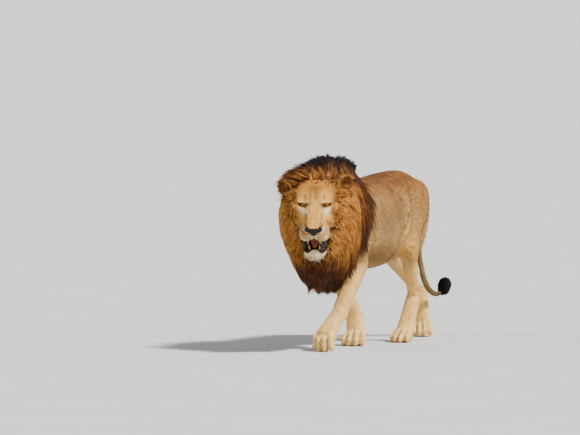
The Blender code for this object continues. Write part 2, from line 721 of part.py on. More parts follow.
def main():
    for one in list(bpy.data.objects):
        bpy.data.objects.remove(one)
    coat = material("short_coat", (0.52, 0.37, 0.20), 0.85)
    pale_coat = material("pale_coat", (0.66, 0.50, 0.30), 0.85)
    mane_hair = material("mane_hair", (0.36, 0.17, 0.05), 0.75)
    dark_hair = material("dark_hair", (0.03, 0.025, 0.022), 0.8)
    eye_surface = material("eye", (0.55, 0.30, 0.06), 0.1)
    wet_skin = material("nose_leather", (0.06, 0.04, 0.035), 0.4)
    mouth_skin = material("mouth", (0.45, 0.16, 0.14), 0.4)

    head = head_parts()
    tail = tail_parts()
    body = whole_body()
    carve(body, grown(tail["tail_root"], "tail_cut", 0.0008))
    neck_point = head_place() @ Vector((0, 0.155 + GAP, -0.03))
    neck_normal = head_place().to_3x3() @ Vector((0, 1, -0.12))
    carve(body, region([(neck_point, -neck_normal), ((0, 0, 0.55), Z_AXIS), ((0, -0.1, 0), -Y_AXIS)]))
    for name in ("ear_left", "ear_right"):
        carve(body, grown(head[name], "ear_cut", 0.001))

    mane = mane_outline()
    flesh = [copy_of(head["head"], "flesh"), copy_of(head["jaw"], "flesh"), copy_of(body, "flesh")]
    flesh += [grown(head[k], "flesh", 0.006) for k in ("ear_left", "ear_right")]
    flesh = fuse("flesh", flesh, voxel=0.009, smoothing=0, triangles=1250)
    carve(mane, grown(flesh, "mane_cut", 0.012))
    remove([flesh])
    for name in ("ear_left", "ear_right"):
        carve(mane, grown(head[name], "mane_cut", 0.0015))

    arm_slope, thigh_slope = 0.28, 0.33
    limbs = {}
    for name, side, front, back in (("left", 1, -0.27, 0.27), ("right", -1, -0.24, 0.36)):
        limbs["foreleg_" + name + "_upper"] = take(
            body,
            [
                ((side * 0.055, 0, LEG_CUT), (side, 0, -arm_slope)),
                ((0, front, 0), Y_AXIS),
                ((0, back, 0), -Y_AXIS),
                ((0, 0, 0.83), -Z_AXIS),
                ((0, 0, LEG_CUT), Z_AXIS),
            ],
        )
    for name, side, front, back in (("left", 1, 0.60, 1.15), ("right", -1, 0.76, 1.35)):
        limbs["hindleg_" + name + "_thigh"] = take(
            body,
            [
                ((side * 0.02, 0, 0.50), (side, 0, -thigh_slope)),
                ((0, front, 0), Y_AXIS),
                ((0, back, 0), -Y_AXIS),
                ((0, 0, 0.84), -Z_AXIS),
                ((0, 0, LEG_CUT), Z_AXIS),
            ],
        )
    barrel, lower = halves(body, (0, 0, LEG_CUT), Z_AXIS)
    hind, fore = halves(lower, (0, 0.57, 0), Y_AXIS)
    fore_left, fore_right = halves(fore, (-0.06, 0, 0), (1, -0.6, 0))
    hind_right, hind_left = halves(hind, (0, 1.0, 0), Y_AXIS)
    for name, leg, joints, ankle in (
        ("foreleg_left", fore_left, FORE_LEFT, "wrist"),
        ("foreleg_right", fore_right, FORE_RIGHT, "wrist"),
        ("hindleg_left", hind_left, HIND_LEFT, "hock"),
        ("hindleg_right", hind_right, HIND_RIGHT, "hock"),
    ):
        previous = joints["elbow"] if ankle == "wrist" else joints["knee"]
        upward = (previous - joints[ankle]).normalized()
        shank, foot = halves(leg, joints[ankle] + upward * 0.02, upward)
        limbs[name + ("_forearm" if ankle == "wrist" else "_shank")] = shank
        limbs[name + "_paw"] = foot
    rump, front_half = halves(barrel, (0, TRUNK_CUTS[1], 0), Y_AXIS)
    loins, front_half = halves(front_half, (0, TRUNK_CUTS[0], 0), Y_AXIS)
    ribs, neck_solid = halves(front_half, (0, NECK_CUT, 0), (0, 1, 0))

    crest, skirt = halves(mane, (0, 0, 0.955), Z_AXIS)
    bib, sides = halves(skirt, (0, 0, 0.56), -Z_AXIS)
    mane_left, mane_right = halves(sides, (0.055, -0.20, 0), (1, 0.26, 0))

    for name, one in limbs.items():
        node(one, name, pale_coat if "paw" in name or "shank" in name or "forearm" in name else coat)
    for name, one in (("trunk_ribs", ribs), ("trunk_loins", loins), ("trunk_rump", rump), ("neck", neck_solid)):
        node(one, name, coat)
    for name, one in (
        ("mane_crest", crest),
        ("mane_left", mane_left),
        ("mane_right", mane_right),
        ("mane_bib", bib),
    ):
        node(one, name, mane_hair)
    for name, one in tail.items():
        node(one, name, dark_hair if name == "tail_tuft" else coat)
    surfaces = {"nose": wet_skin, "tongue": mouth_skin, "eye_left": eye_surface, "eye_right": eye_surface}
    for name, one in head.items():
        node(one, name, surfaces.get(name, coat))

    corners = [vert.co for one in NODES for vert in one.data.vertices]
    low = Vector([min(c[i] for c in corners) for i in range(3)])
    high = Vector([max(c[i] for c in corners) for i in range(3)])
    shift = Matrix.Translation((-(low.x + high.x) / 2, -(low.y + high.y) / 2, -low.z))
    for one in NODES:
        one.data.transform(shift)


main()
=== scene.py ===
"""A male lion at a slow walk: skin, face, eyes, mane and coat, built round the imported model."""

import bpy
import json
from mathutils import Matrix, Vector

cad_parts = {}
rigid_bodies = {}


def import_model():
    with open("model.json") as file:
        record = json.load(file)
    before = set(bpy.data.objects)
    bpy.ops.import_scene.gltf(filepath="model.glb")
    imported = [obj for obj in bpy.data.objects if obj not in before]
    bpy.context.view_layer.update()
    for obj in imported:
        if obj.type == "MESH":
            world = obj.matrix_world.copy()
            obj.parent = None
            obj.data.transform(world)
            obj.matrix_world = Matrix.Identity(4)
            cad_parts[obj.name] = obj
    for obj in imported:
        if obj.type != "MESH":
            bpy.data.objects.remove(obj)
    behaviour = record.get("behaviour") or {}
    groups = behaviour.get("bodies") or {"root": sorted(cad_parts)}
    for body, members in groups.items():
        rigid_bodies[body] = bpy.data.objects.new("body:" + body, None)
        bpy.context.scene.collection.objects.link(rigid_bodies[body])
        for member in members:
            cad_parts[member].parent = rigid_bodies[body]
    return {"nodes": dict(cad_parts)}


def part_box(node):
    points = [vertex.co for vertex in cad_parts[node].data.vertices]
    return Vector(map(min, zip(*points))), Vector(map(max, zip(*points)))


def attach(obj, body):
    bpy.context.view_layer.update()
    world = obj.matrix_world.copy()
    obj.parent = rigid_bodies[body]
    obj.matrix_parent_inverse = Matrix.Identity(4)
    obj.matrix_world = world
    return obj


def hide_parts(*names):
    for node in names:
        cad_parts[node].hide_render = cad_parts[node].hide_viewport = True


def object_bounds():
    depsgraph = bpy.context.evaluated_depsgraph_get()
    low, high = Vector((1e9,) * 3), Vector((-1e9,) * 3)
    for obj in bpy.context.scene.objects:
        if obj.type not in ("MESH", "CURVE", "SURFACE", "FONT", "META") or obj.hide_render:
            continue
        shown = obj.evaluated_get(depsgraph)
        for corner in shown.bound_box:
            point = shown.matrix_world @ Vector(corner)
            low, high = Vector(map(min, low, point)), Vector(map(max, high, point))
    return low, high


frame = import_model()

import json
import math

import bmesh
import bpy
import numpy as np
from mathutils import Euler, Matrix, Vector
from mathutils.bvhtree import BVHTree

cad_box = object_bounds()
NODES = frame["nodes"]
MANE_NODES = ["mane_bib", "mane_crest", "mane_left", "mane_right"]
APART = ["nose", "tongue", "tail_tuft", *MANE_NODES]
FLESH = [name for name in NODES if name not in APART and not name.startswith("eye")]
SIDES = (1, -1)  # the animal's left and right
LUCK = np.random.default_rng(11)

# ---------------------------------------------------------------- sizes, in metres
SEAL = 0.0012  # closes the thin cuts between the solids
SKIN_GRAIN = 0.0050
SKIN_TRIANGLES = 70000
CORE_GRAIN = 0.0090
MANE_DEPTH = 0.020  # from the tips of the mane down to its core, which is painted dark as the shade between the locks
EYE_RADIUS = 0.0185
EYE_BACK = 0.008  # how far the eyes' centres lie behind the head frame's origin
HEAD_PITCH = math.radians(27.5)  # nose down
GAZE_RISE = math.radians(25)  # how far the eyes look up out of the lowered head
GAZE_OUT = math.radians(9)
EYE_SLANT = math.radians(3)  # outer corner up
EYE_HALF_WIDTH = 0.0185
LID_ABOVE = 0.0090
LID_BELOW = 0.0082
LID_THICKNESS = 0.0022
MOUTH_AT = (0, -0.052, -0.180)
MOUTH_SIZE = (0.052, 0.078, 0.026)
MOUTH_TILT = math.radians(-16)

# How deep the skin lies under the tips of the coat, by part.
COAT_DEPTH = {
    "head": 0.0030,
    "jaw": 0.0030,
    "ear": 0.0020,
    "tail": 0.0035,
    "paw": 0.0022,
    "shank": 0.0035,
    "forearm": 0.0035,
}
BODY_DEPTH = 0.0055
# How strongly each part's skin is evened out.
EVENING = {
    "head": 0.06,
    "jaw": 0.05,
    "ear": 0.03,
    "tail": 0.15,
    "paw": 0.035,
    "shank": 0.14,
    "forearm": 0.20,
    "thigh": 0.6,
    "upper": 0.6,
}
EVENING_ROUNDS = 110
# How readily each part's skin gives up triangles that it does not need.
SPARE = {"head": 0.05, "jaw": 0.05, "ear": 0.3, "paw": 0.2, "neck": 1.0}


# ---------------------------------------------------------------- the head's own frame
def middle(name):
    low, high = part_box(name)
    return (low + high) / 2


EYES = {1: middle("eye_left"), -1: middle("eye_right")}


def head_frame():
    """Matrix from the head's frame (+X its left, +Y to the back, +Z crown) to the row frame."""
    across = (EYES[1] - EYES[-1]).normalized()
    yaw = math.atan2(across.y, across.x)
    turn = Matrix.Rotation(yaw, 4, "Z") @ Matrix.Rotation(HEAD_PITCH, 4, "X")
    back = turn.to_3x3() @ Vector((0, 1, 0))
    return Matrix.Translation((EYES[1] + EYES[-1]) / 2 - back * EYE_BACK) @ turn


HEAD = head_frame()
OUT_OF_HEAD = np.array(HEAD)
INTO_HEAD = np.array(HEAD.inverted())


def in_head(points):
    return points @ INTO_HEAD[:3, :3].T + INTO_HEAD[:3, 3]


def out_of_head(points):
    return np.asarray(points, float) @ OUT_OF_HEAD[:3, :3].T + OUT_OF_HEAD[:3, 3]


def turned_out_of_head(vectors):
    return np.asarray(vectors, float) @ OUT_OF_HEAD[:3, :3].T


YAW = Matrix.Rotation(math.atan2(HEAD[1][0], HEAD[0][0]), 3, "Z")
RUFF = np.array(YAW)


def in_ruff(points):
    """The head's frame without its pitch: +X its left, +Y back along the neck, +Z up."""
    return (points - OUT_OF_HEAD[:3, 3]) @ RUFF


def turned_out_of_ruff(vectors):
    return np.asarray(vectors, float) @ RUFF.T


# ---------------------------------------------------------------- how the body stands
EYES_OVER_ORIGIN = Vector((0.123, -0.46, 0.806))  # from under the withers to between the eyes
WITHERS = np.array(HEAD.translation - EYES_OVER_ORIGIN)
# Joints seen from the side (y, z), from under the withers: on the left first, then on the right.
FORE_JOINTS = {
    1: ((-0.075, 0.665), (0.110, 0.485), (-0.055, 0.205)),
    -1: ((0.050, 0.660), (0.305, 0.468), (0.432, 0.165)),
}
HIND_JOINTS = {
    1: ((0.950, 0.790), (0.755, 0.505), (0.925, 0.245)),
    -1: ((0.950, 0.790), (1.105, 0.465), (1.395, 0.245)),
}
# Each paw: ankle, middle of the row of toes, width, how far it tips down in degrees.
PAWS = {
    "foreleg_left_paw": ((0.086, -0.055), (0.046, -0.150, 0.049), 0.135, 48),
    "foreleg_right_paw": ((-0.045, 0.432), (-0.030, 0.392, 0.023), 0.135, 0),
    "hindleg_left_paw": ((0.088, 0.925), (0.073, 0.808, 0.022), 0.118, 0),
    "hindleg_right_paw": ((-0.078, 1.395), (-0.058, 1.378, 0.022), 0.118, 0),
}
TOE_SPACING = 0.262  # of the paw's width
# Each ear: its base in the head's frame and how far it leans out in degrees.
EARS = {1: ((0.122, 0.132, 0.004), 46), -1: ((-0.135, 0.128, -0.018), 56)}
EAR_WIDTH = 0.054
EAR_HEIGHT = 0.106
EAR_HOLLOW = 0.030


def paw_frame(name):
    """Matrix from a paw's frame (toes along -Y, +Z its upper side) to the row frame."""
    (ankle_x, ankle_y), toes, _, bend = PAWS[name]
    turn = 0.5 * math.atan2(toes[0] - ankle_x, ankle_y - toes[1])
    place_at = Matrix.Translation(Vector(WITHERS) + Vector(toes))
    return place_at @ Matrix.Rotation(turn, 4, "Z") @ Matrix.Rotation(math.radians(bend), 4, "X")


def ear_plot(head, side):
    """Place on an ear: across and up in shares of its size, and how far behind its middle sheet."""
    base, lean = EARS[side]
    turn = Euler((math.radians(-8), math.radians(side * lean), math.radians(side * 26))).to_matrix()
    across, back, up = ((head - np.array(base)) @ np.array(turn)).T
    across, up = across / EAR_WIDTH, up / EAR_HEIGHT
    bowl = EAR_HOLLOW * np.clip(1 - across ** 2, 0, 1) * np.sin(math.pi * np.clip(1 - 0.75 * up, 0, 1))
    return side * across, up, back - bowl


def ear_distance(head):
    """How far away the base of the nearer ear is."""
    return np.min([np.linalg.norm(head - EARS[side][0], axis=1) for side in SIDES], axis=0)


# ---------------------------------------------------------------- tools
def deselect():
    for one in bpy.context.selected_objects:
        one.select_set(False)


def activate(piece):
    deselect()
    piece.select_set(True)
    bpy.context.view_layer.objects.active = piece


def linked(name, mesh):
    piece = bpy.data.objects.new(name, mesh)
    bpy.context.scene.collection.objects.link(piece)
    return piece


def new_piece(name, bm):
    mesh = bpy.data.meshes.new(name)
    bm.to_mesh(mesh)
    bm.free()
    return linked(name, mesh)


def copy_of(name, nodes):
    """One object with the merged meshes of these CAD nodes."""
    bm = bmesh.new()
    for node in nodes:
        bm.from_mesh(NODES[node].data)
    bmesh.ops.remove_doubles(bm, verts=bm.verts, dist=1e-5)
    return new_piece(name, bm)


def apply(piece, kind, **settings):
    """Adds a modifier with these settings and applies it."""
    activate(piece)
    made = piece.modifiers.new(kind.lower(), kind)
    for key, value in settings.items():
        setattr(made, key, value)
    bpy.ops.object.modifier_apply(modifier=made.name)


def places(piece):
    flat = np.empty(len(piece.data.vertices) * 3)
    piece.data.vertices.foreach_get("co", flat)
    return flat.reshape(-1, 3)


def normals(piece):
    flat = np.empty(len(piece.data.vertices) * 3)
    piece.data.vertex_normals.foreach_get("vector", flat)
    return flat.reshape(-1, 3)


def move_to(piece, points):
    piece.data.vertices.foreach_set("co", np.ascontiguousarray(points, np.float32).ravel())
    piece.data.update()


def links(piece):
    flat = np.empty(len(piece.data.edges) * 2, np.int32)
    piece.data.edges.foreach_get("vertices", flat)
    return flat.reshape(-1, 2)


def neighbour_mean(values, one, other, degree):
    mean = np.empty_like(values)
    count = len(values)
    for axis in range(values.shape[1]):
        total = np.bincount(one, values[other, axis], count)
        total += np.bincount(other, values[one, axis], count)
        mean[:, axis] = total / degree
    return mean


def spread(piece, values, rounds, share=1.0):
    """Moves each vertex's values half the way to its neighbours' mean, a number of times."""
    one, other = links(piece).T
    count = len(values)
    degree = np.maximum(np.bincount(one, minlength=count) + np.bincount(other, minlength=count), 1)
    step = (0.5 * np.broadcast_to(share, count))[:, None]
    table = values.reshape(count, -1).astype(float)
    for _ in range(rounds):
        table = table + step * (neighbour_mean(table, one, other, degree) - table)
    return table.reshape(values.shape)


def eased(piece, rounds, share=1.0):
    move_to(piece, spread(piece, places(piece), rounds, share))


def unit(vectors):
    return vectors / np.maximum(np.linalg.norm(vectors, axis=-1, keepdims=True), 1e-9)


def smoothstep(low, high, value):
    t = np.clip((value - low) / (high - low), 0, 1)
    return t * t * (3 - 2 * t)


def bump_at(distance, width):
    return np.exp(-((distance / width) ** 2))


def distance_to_path(points, path):
    """Distance from each point to a chain of straight lengths."""
    path = np.asarray(path, float)
    best = np.full(len(points), np.inf)
    for start, end in zip(path, path[1:]):
        along = end - start
        t = np.clip((points - start) @ along / (along @ along), 0, 1)
        best = np.minimum(best, np.linalg.norm(points - start - t[:, None] * along, axis=1))
    return best


def near_path(points, path, width):
    """1 on the path and fading out beside it."""
    return bump_at(distance_to_path(points, path), width)


# ---------------------------------------------------------------- which part of the body a place is on
def solids_tree(nodes):
    """Search tree over the outside of these solids."""
    solids = copy_of("solids", nodes)
    solids.data.calc_loop_triangles()
    corners = [list(t.vertices) for t in solids.data.loop_triangles]
    tree = BVHTree.FromPolygons([v.co.copy() for v in solids.data.vertices], corners)
    bpy.data.objects.remove(solids)
    return tree


class Parts:
    """Finds the CAD node nearest to each point."""

    def __init__(self, nodes):
        vertices, faces, self.names, self.face_node = [], [], list(nodes), []
        for number, node in enumerate(self.names):
            base = len(vertices)
            mesh = NODES[node].data
            vertices += [v.co.copy() for v in mesh.vertices]
            faces += [[base + i for i in p.vertices] for p in mesh.polygons]
            self.face_node += [number] * len(mesh.polygons)
        self.tree = BVHTree.FromPolygons(vertices, faces)

    def near(self, points):
        """Number of the nearest node and the distance to it, for each point."""
        found = [self.tree.find_nearest(p) for p in points.tolist()]
        return np.array([self.face_node[f[2]] for f in found]), np.array([f[3] for f in found])

    def values(self, table, default):
        """A value for each node, from a table by words of the node's name."""
        chosen = []
        for name in self.names:
            match = [value for word, value in table.items() if word in name]
            chosen.append(match[0] if match else default)
        return np.array(chosen)


BODY = Parts(FLESH)
NOSE_TREE = solids_tree(["nose"])
MANE_TREE = solids_tree(MANE_NODES)
# How far long hair may reach past the solids.
HAIR_ROOM = np.array((0.008, 0.030, 0.022))
LIMITS = (np.array(cad_box[0]) - HAIR_ROOM * (1, 1, 0), np.array(cad_box[1]) + HAIR_ROOM)
MANE_LIMITS = (np.append(LIMITS[0][:2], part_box("mane_bib")[0].z - 0.004), LIMITS[1])
LIMIT_GIVE = 0.022  # spreads the tips that meet a limit, so that they make no edge


def kept_in(lines, limits):
    """Shortens each strand that would leave the limits, some more than others."""
    low, high = limits
    root = lines[:, :1]
    reach = lines - root
    give = LUCK.uniform(0, LIMIT_GIVE, len(lines))[:, None, None]
    room = np.maximum(np.where(reach > 0, high - give - root, root - low - give), 1e-4)
    share = np.minimum(1, room / np.maximum(np.abs(reach), 1e-9)).min(axis=(1, 2))
    return root + reach * np.maximum(share, 0.25)[:, None, None]


# ---------------------------------------------------------------- skin
def keep_largest(piece):
    """Drops loose crumbs, so that one closed surface is left."""
    activate(piece)
    bpy.ops.object.mode_set(mode="EDIT")
    bpy.ops.mesh.select_all(action="DESELECT")
    bpy.ops.object.mode_set(mode="OBJECT")
    top = int(np.argmax(places(piece)[:, 2]))
    piece.data.vertices[top].select = True
    bpy.ops.object.mode_set(mode="EDIT")
    bpy.ops.mesh.select_mode(type="VERT")
    bpy.ops.mesh.select_linked()
    bpy.ops.mesh.select_all(action="INVERT")
    bpy.ops.mesh.delete(type="VERT")
    bpy.ops.object.mode_set(mode="OBJECT")


def raw_skin():
    """All flesh in one closed surface, evened out and drawn in by the coat's depth."""
    skin = copy_of("skin", [*FLESH, "nose", "eye_left", "eye_right"])
    move_to(skin, places(skin) + normals(skin) * SEAL)
    apply(skin, "REMESH", mode="VOXEL", voxel_size=SKIN_GRAIN, adaptivity=0.0)
    keep_largest(skin)
    node = BODY.near(places(skin))[0]
    share = spread(skin, BODY.values(EVENING, 1.0)[node], 12)
    depth = spread(skin, BODY.values(COAT_DEPTH, BODY_DEPTH)[node], 20)
    eased(skin, EVENING_ROUNDS, share)
    move_to(skin, places(skin) - normals(skin) * (depth + SEAL)[:, None])
    eased(skin, 4, 0.5 * share)
    spare = skin.vertex_groups.new(name="spare")
    weights = BODY.values(SPARE, 0.8)[node]
    for value in np.unique(weights):
        spare.add(np.flatnonzero(weights == value).tolist(), float(value), "REPLACE")
    count = 2 * len(skin.data.polygons)
    ratio = SKIN_TRIANGLES / count
    apply(skin, "DECIMATE", ratio=ratio, vertex_group="spare", vertex_group_factor=3.0)
    skin.vertex_groups.clear()
    return skin


def between(first, second, share):
    return tuple(a + share * (b - a) for a, b in zip(first, second))


def shifted(place, y, z):
    return place[0] + y, place[1] + z


# Creases between flank and thigh, and behind the thigh, as seen from the side: paths (y, z).
CREASES = (
    ((0.506, 0.862), (0.575, 0.825), (0.615, 0.790), (0.649, 0.700)),
    ((0.774, 0.835), (0.720, 0.770), (0.649, 0.700), (0.602, 0.655), (0.572, 0.623)),
    ((0.940, 0.700), (0.850, 0.640), (0.800, 0.580)),
)


def body_strokes(side):
    """Hollows and swellings of trunk and legs seen from one side: path (y, z), width, height."""
    _, elbow, wrist = FORE_JOINTS[side]
    hip, knee, hock = HIND_JOINTS[side]
    stride = knee[0] - HIND_JOINTS[1][1][0]
    fold = ((0.600, 0.800), (0.598, 0.740), (0.570 + 0.3 * stride, 0.640), (0.520 + 0.4 * stride, 0.570))
    return (
        (fold, 0.030, -0.0105),
        (((0.690, 0.760), (0.660 + 0.5 * stride, 0.630)), 0.062, 0.0070),
        (((0.447, 0.960), (0.524, 0.870), (0.590, 0.790)), 0.020, -0.0100),
        (((0.500, 0.820), (0.520, 0.700)), 0.040, -0.0080),
        (((0.300, 0.570), (0.430, 0.540), (0.520, 0.570)), 0.060, 0.0090),
        (((0.220, 0.475), (0.400, 0.462), (0.540, 0.500), (0.610, 0.560)), 0.016, -0.0080),
        (((0.240, 0.850), (0.215, 0.740), (0.220, 0.600)), 0.026, -0.0090),
        (((0.140, 0.860), (0.120, 0.760)), 0.045, 0.0060),
        ((shifted(elbow, 0.035, 0.110), shifted(elbow, 0.012, 0.010)), 0.018, -0.0085),
        ((between(elbow, wrist, 0.10), between(elbow, wrist, 0.45)), 0.022, 0.0055),
        ((shifted(between(elbow, wrist, 0.3), 0.026, 0), shifted(wrist, 0.020, 0.03)), 0.010, -0.0045),
        ((shifted(wrist, 0.0, 0.03), shifted(wrist, -0.004, -0.01)), 0.020, 0.0045),
        ((shifted(knee, -0.028, 0.025), shifted(knee, -0.026, -0.015)), 0.026, 0.0070),
        ((shifted(knee, 0.060, 0.080), between(knee, hock, 0.35)), 0.026, -0.0080),
        ((shifted(between(knee, hock, 0.45), 0.012, 0), shifted(hock, 0.010, 0.04)), 0.012, -0.0075),
        ((shifted(hip, 0.055, -0.02), shifted(hip, 0.045, -0.16)), 0.030, -0.0045),
    )


def sculpt_body(skin):
    """The flank's fold, belly, shoulder and haunch, the hollows beside the tendons, and the toes."""
    points = places(skin) - WITHERS
    out = normals(skin)
    rise = np.zeros(len(points))
    for side in SIDES:
        facing = smoothstep(0.15, 0.60, side * out[:, 0]) * (side * points[:, 0] > -0.02)
        for path, width, height in body_strokes(side):
            rise += height * facing * near_path(points[:, 1:], path, width)
        for path in CREASES:
            rise -= 0.0050 * facing * near_path(points[:, 1:], path, 0.014)
    points = places(skin) + out * rise[:, None]
    for name, (_, _, width, _) in PAWS.items():
        local, _ = in_paw(points, name)
        near = toe_area(local)
        cleft, knuckle = toe_forms(local, width)
        points = points - out * (near * (0.0085 * cleft - 0.0045 * knuckle))[:, None]
    move_to(skin, points)


def in_paw(points, name):
    turned = np.array(paw_frame(name).inverted())
    return points @ turned[:3, :3].T + turned[:3, 3], PAWS[name][2]


def toe_area(local):
    """1 on the toes and fading out up the instep."""
    aside, along, up = local.T
    reach = smoothstep(0.006, -0.016, along) * smoothstep(-0.10, -0.075, along)
    return reach * smoothstep(0.11, 0.085, np.abs(aside)) * smoothstep(0.075, 0.050, np.abs(up))


def toe_forms(local, width):
    """The clefts between the toes and the knuckles on them."""
    spacing = width * TOE_SPACING
    splay = 1 - 1.6 * np.minimum(local[:, 1], 0)
    cleft = np.zeros(len(local))
    for place_at in (-1, 0, 1):
        depth = 1.0 if place_at == 0 else 0.78
        cleft = np.maximum(cleft, depth * bump_at(local[:, 0] / splay - place_at * spacing, 0.0038))
    knuckle = np.zeros(len(local))
    for place_at in (-1.5, -0.5, 0.5, 1.5):
        forward = -0.018 if abs(place_at) < 1 else 0.004
        spot = np.hypot(local[:, 0] / splay - place_at * spacing * 0.95, local[:, 1] - forward)
        knuckle = np.maximum(knuckle, bump_at(spot, 0.016))
    return cleft * smoothstep(-0.018, -0.004, local[:, 2]), knuckle * (local[:, 2] > 0)


def refine(piece, chosen, rounds=2):
    """Cuts the faces round the chosen vertices in four and evens the new ones out."""
    activate(piece)
    bpy.ops.object.mode_set(mode="EDIT")
    bpy.ops.mesh.select_mode(type="VERT")
    bpy.ops.mesh.select_all(action="DESELECT")
    bpy.ops.object.mode_set(mode="OBJECT")
    piece.data.vertices.foreach_set("select", chosen)
    bpy.ops.object.mode_set(mode="EDIT")
    bpy.ops.mesh.select_mode(type="FACE")
    bpy.ops.mesh.subdivide(number_cuts=1)
    bpy.ops.object.mode_set(mode="OBJECT")
    moved = np.zeros(len(piece.data.vertices), bool)
    piece.data.vertices.foreach_get("select", moved)
    eased(piece, rounds, moved * 1.0)


def face_area(head):
    """True on the face, in the head's frame: in front of the ears."""
    x, y, z = head.T
    return (y < 0.090) & (z > -0.29) & (np.abs(x) < 0.13)


def fine_area(head):
    """True round the eyes, and on the muzzle and lips."""
    x, y, z = head.T
    eye = np.hypot(np.abs(x) - 0.0635, z) < 0.028
    return ((y < 0.045) & eye) | ((y < -0.078) & (z < -0.075) & (z > -0.215))


def eye_axes(side):
    """Forward, outward and upward of the almond of an eye, in the head's frame."""
    forward = np.array([
        side * math.sin(GAZE_OUT) * math.cos(GAZE_RISE),
        -math.cos(GAZE_OUT) * math.cos(GAZE_RISE),
        math.sin(GAZE_RISE),
    ])
    outward = np.array([side * math.cos(GAZE_OUT), math.sin(GAZE_OUT), 0])
    upward = side * np.cross(forward, outward)
    c, s = math.cos(EYE_SLANT), math.sin(EYE_SLANT)
    return forward, c * outward + s * upward, c * upward - s * outward


def eye_centre(side):
    return in_head(np.array([EYES[side]]))[0]


def eye_plot(head, side):
    """Radius from the eyeball's centre, place across and up its front, and distance outside the almond."""
    forward, outward, upward = eye_axes(side)
    away = head - eye_centre(side)
    radius = np.linalg.norm(away, axis=1)
    ray = away / np.maximum(radius, 1e-6)[:, None]
    arc = EYE_RADIUS * np.arccos(np.clip(ray @ forward, -1, 1))
    flat = unit(np.stack([ray @ outward, ray @ upward], 1))
    across, up = arc * flat[:, 0], arc * flat[:, 1]
    inside = np.clip(1 - (across / EYE_HALF_WIDTH) ** 2, 0, 1)
    above = up - LID_ABOVE * inside ** 0.75
    below = -LID_BELOW * inside ** 0.9 - up
    past = np.maximum(np.abs(across) - EYE_HALF_WIDTH, 0)
    outside = np.where(past > 0, np.hypot(past, up), np.maximum(above, below))
    facing = (ray @ forward > 0.05) & (radius < 0.055)
    outside = np.where(facing, outside, 1.0)
    return radius, ray, across, up, outside


def open_eyes(head):
    """Draws the skin back behind the eyeball in the almond, and rolls a lid round it."""
    for side in SIDES:
        radius, ray, _, up, outside = eye_plot(head, side)
        lid = EYE_RADIUS + LID_THICKNESS * smoothstep(-0.0006, 0.0008, outside)
        target = np.where(outside < 0, EYE_RADIUS - 0.0035, lid)
        fold = 0.0013 * bump_at(outside - 0.0062, 0.0016) * np.where(up > 0, 1.0, 0.6)
        natural = np.maximum(radius, EYE_RADIUS + 0.0016)
        blend = smoothstep(0.0015, 0.0115, outside)
        new = target + blend * (natural - target) - fold
        near = outside < 0.02
        centre = eye_centre(side)
        head = np.where(near[:, None], centre + ray * np.where(near, new, radius)[:, None], head)
    return head


# Folds and swellings of the face, seen from the front: places (x, z), width, height.
FACE_STROKES = (
    (((0.016, 0.032), (0.020, 0.066)), 0.0120, 0.0030),
    (((0.046, 0.034), (0.062, 0.038), (0.084, 0.026)), 0.0130, 0.0016),
    (((0.041, 0.010), (0.036, -0.020)), 0.0080, -0.0014),
    (((0.044, -0.022), (0.064, -0.029), (0.082, -0.019)), 0.0045, -0.0018),
    (((0.040, -0.018), (0.037, -0.050)), 0.0080, 0.0026),
    (((0.052, -0.032), (0.050, -0.068)), 0.0120, -0.0022),
    (((0.050, -0.080), (0.068, -0.094), (0.080, -0.124)), 0.0065, -0.0040),
    (((0.028, -0.100), (0.044, -0.106), (0.050, -0.126)), 0.0170, 0.0042),
    (((0.096, 0.010), (0.094, -0.050)), 0.0200, 0.0040),
    (((0.056, -0.070), (0.074, -0.084)), 0.0160, -0.0040),
    (((0.022, -0.010), (0.026, -0.050)), 0.0130, 0.0030),
)
FOREHEAD_CREASE = ((0.003, 0.038), (-0.001, 0.058), (0.005, 0.086))
WHISKER_ROWS = 4


def whisker_row(row):
    """Front-view path of one row of whisker follicles on the pad, from the nose outwards."""
    z = -0.094 - 0.0115 * row
    return ((0.017, z), (0.040, z - 0.001), (0.064 - 0.003 * row, z + 0.005))


def mouth_level(head):
    """1 on the surface of the mouth's hollow, less inside it."""
    turn = np.array(Matrix.Rotation(MOUTH_TILT, 3, "X"))
    inside = (head - np.array(MOUTH_AT)) @ turn
    return np.linalg.norm(inside / np.array(MOUTH_SIZE), axis=1)


def clear_mouth(head):
    """Presses what stands inside the mouth's hollow back to its wall."""
    turn = np.array(Matrix.Rotation(MOUTH_TILT, 3, "X"))
    inside = (head - np.array(MOUTH_AT)) @ turn
    level = np.linalg.norm(inside / np.array(MOUTH_SIZE), axis=1)
    scale = np.where((level < 1.02) & (level > 0.3), 1.02 / np.maximum(level, 0.3), 1.0)
    return np.array(MOUTH_AT) + (inside * scale[:, None]) @ turn.T


def jaw_line(head):
    """Height above the lower edge of the black lower lip, and above the line where the lips part."""
    forward = head[:, 1] + 0.12
    middle_up = 0.017 * smoothstep(0.042, 0.006, np.abs(head[:, 0]))
    return head[:, 2] + 0.229 - 0.05 * forward - middle_up, head[:, 2] + 0.183 + 0.24 * forward


def lower_lip(head):
    over, parting = jaw_line(head)
    band = smoothstep(-0.003, 0.004, over) * smoothstep(0.016, 0.006, parting)
    return band * smoothstep(0.01, -0.02, head[:, 1]) * (np.abs(head[:, 0]) < 0.09)


def leather_area(head):
    """1 on the bare leather of the nose, nought where the fur of its bridge begins."""
    x, y, z = head.T
    top = -0.0575 + 0.16 * np.maximum(np.abs(x) - 0.022, 0)
    return smoothstep(0.002, -0.002, z - top - 0.25 * np.minimum(y + 0.160, 0))


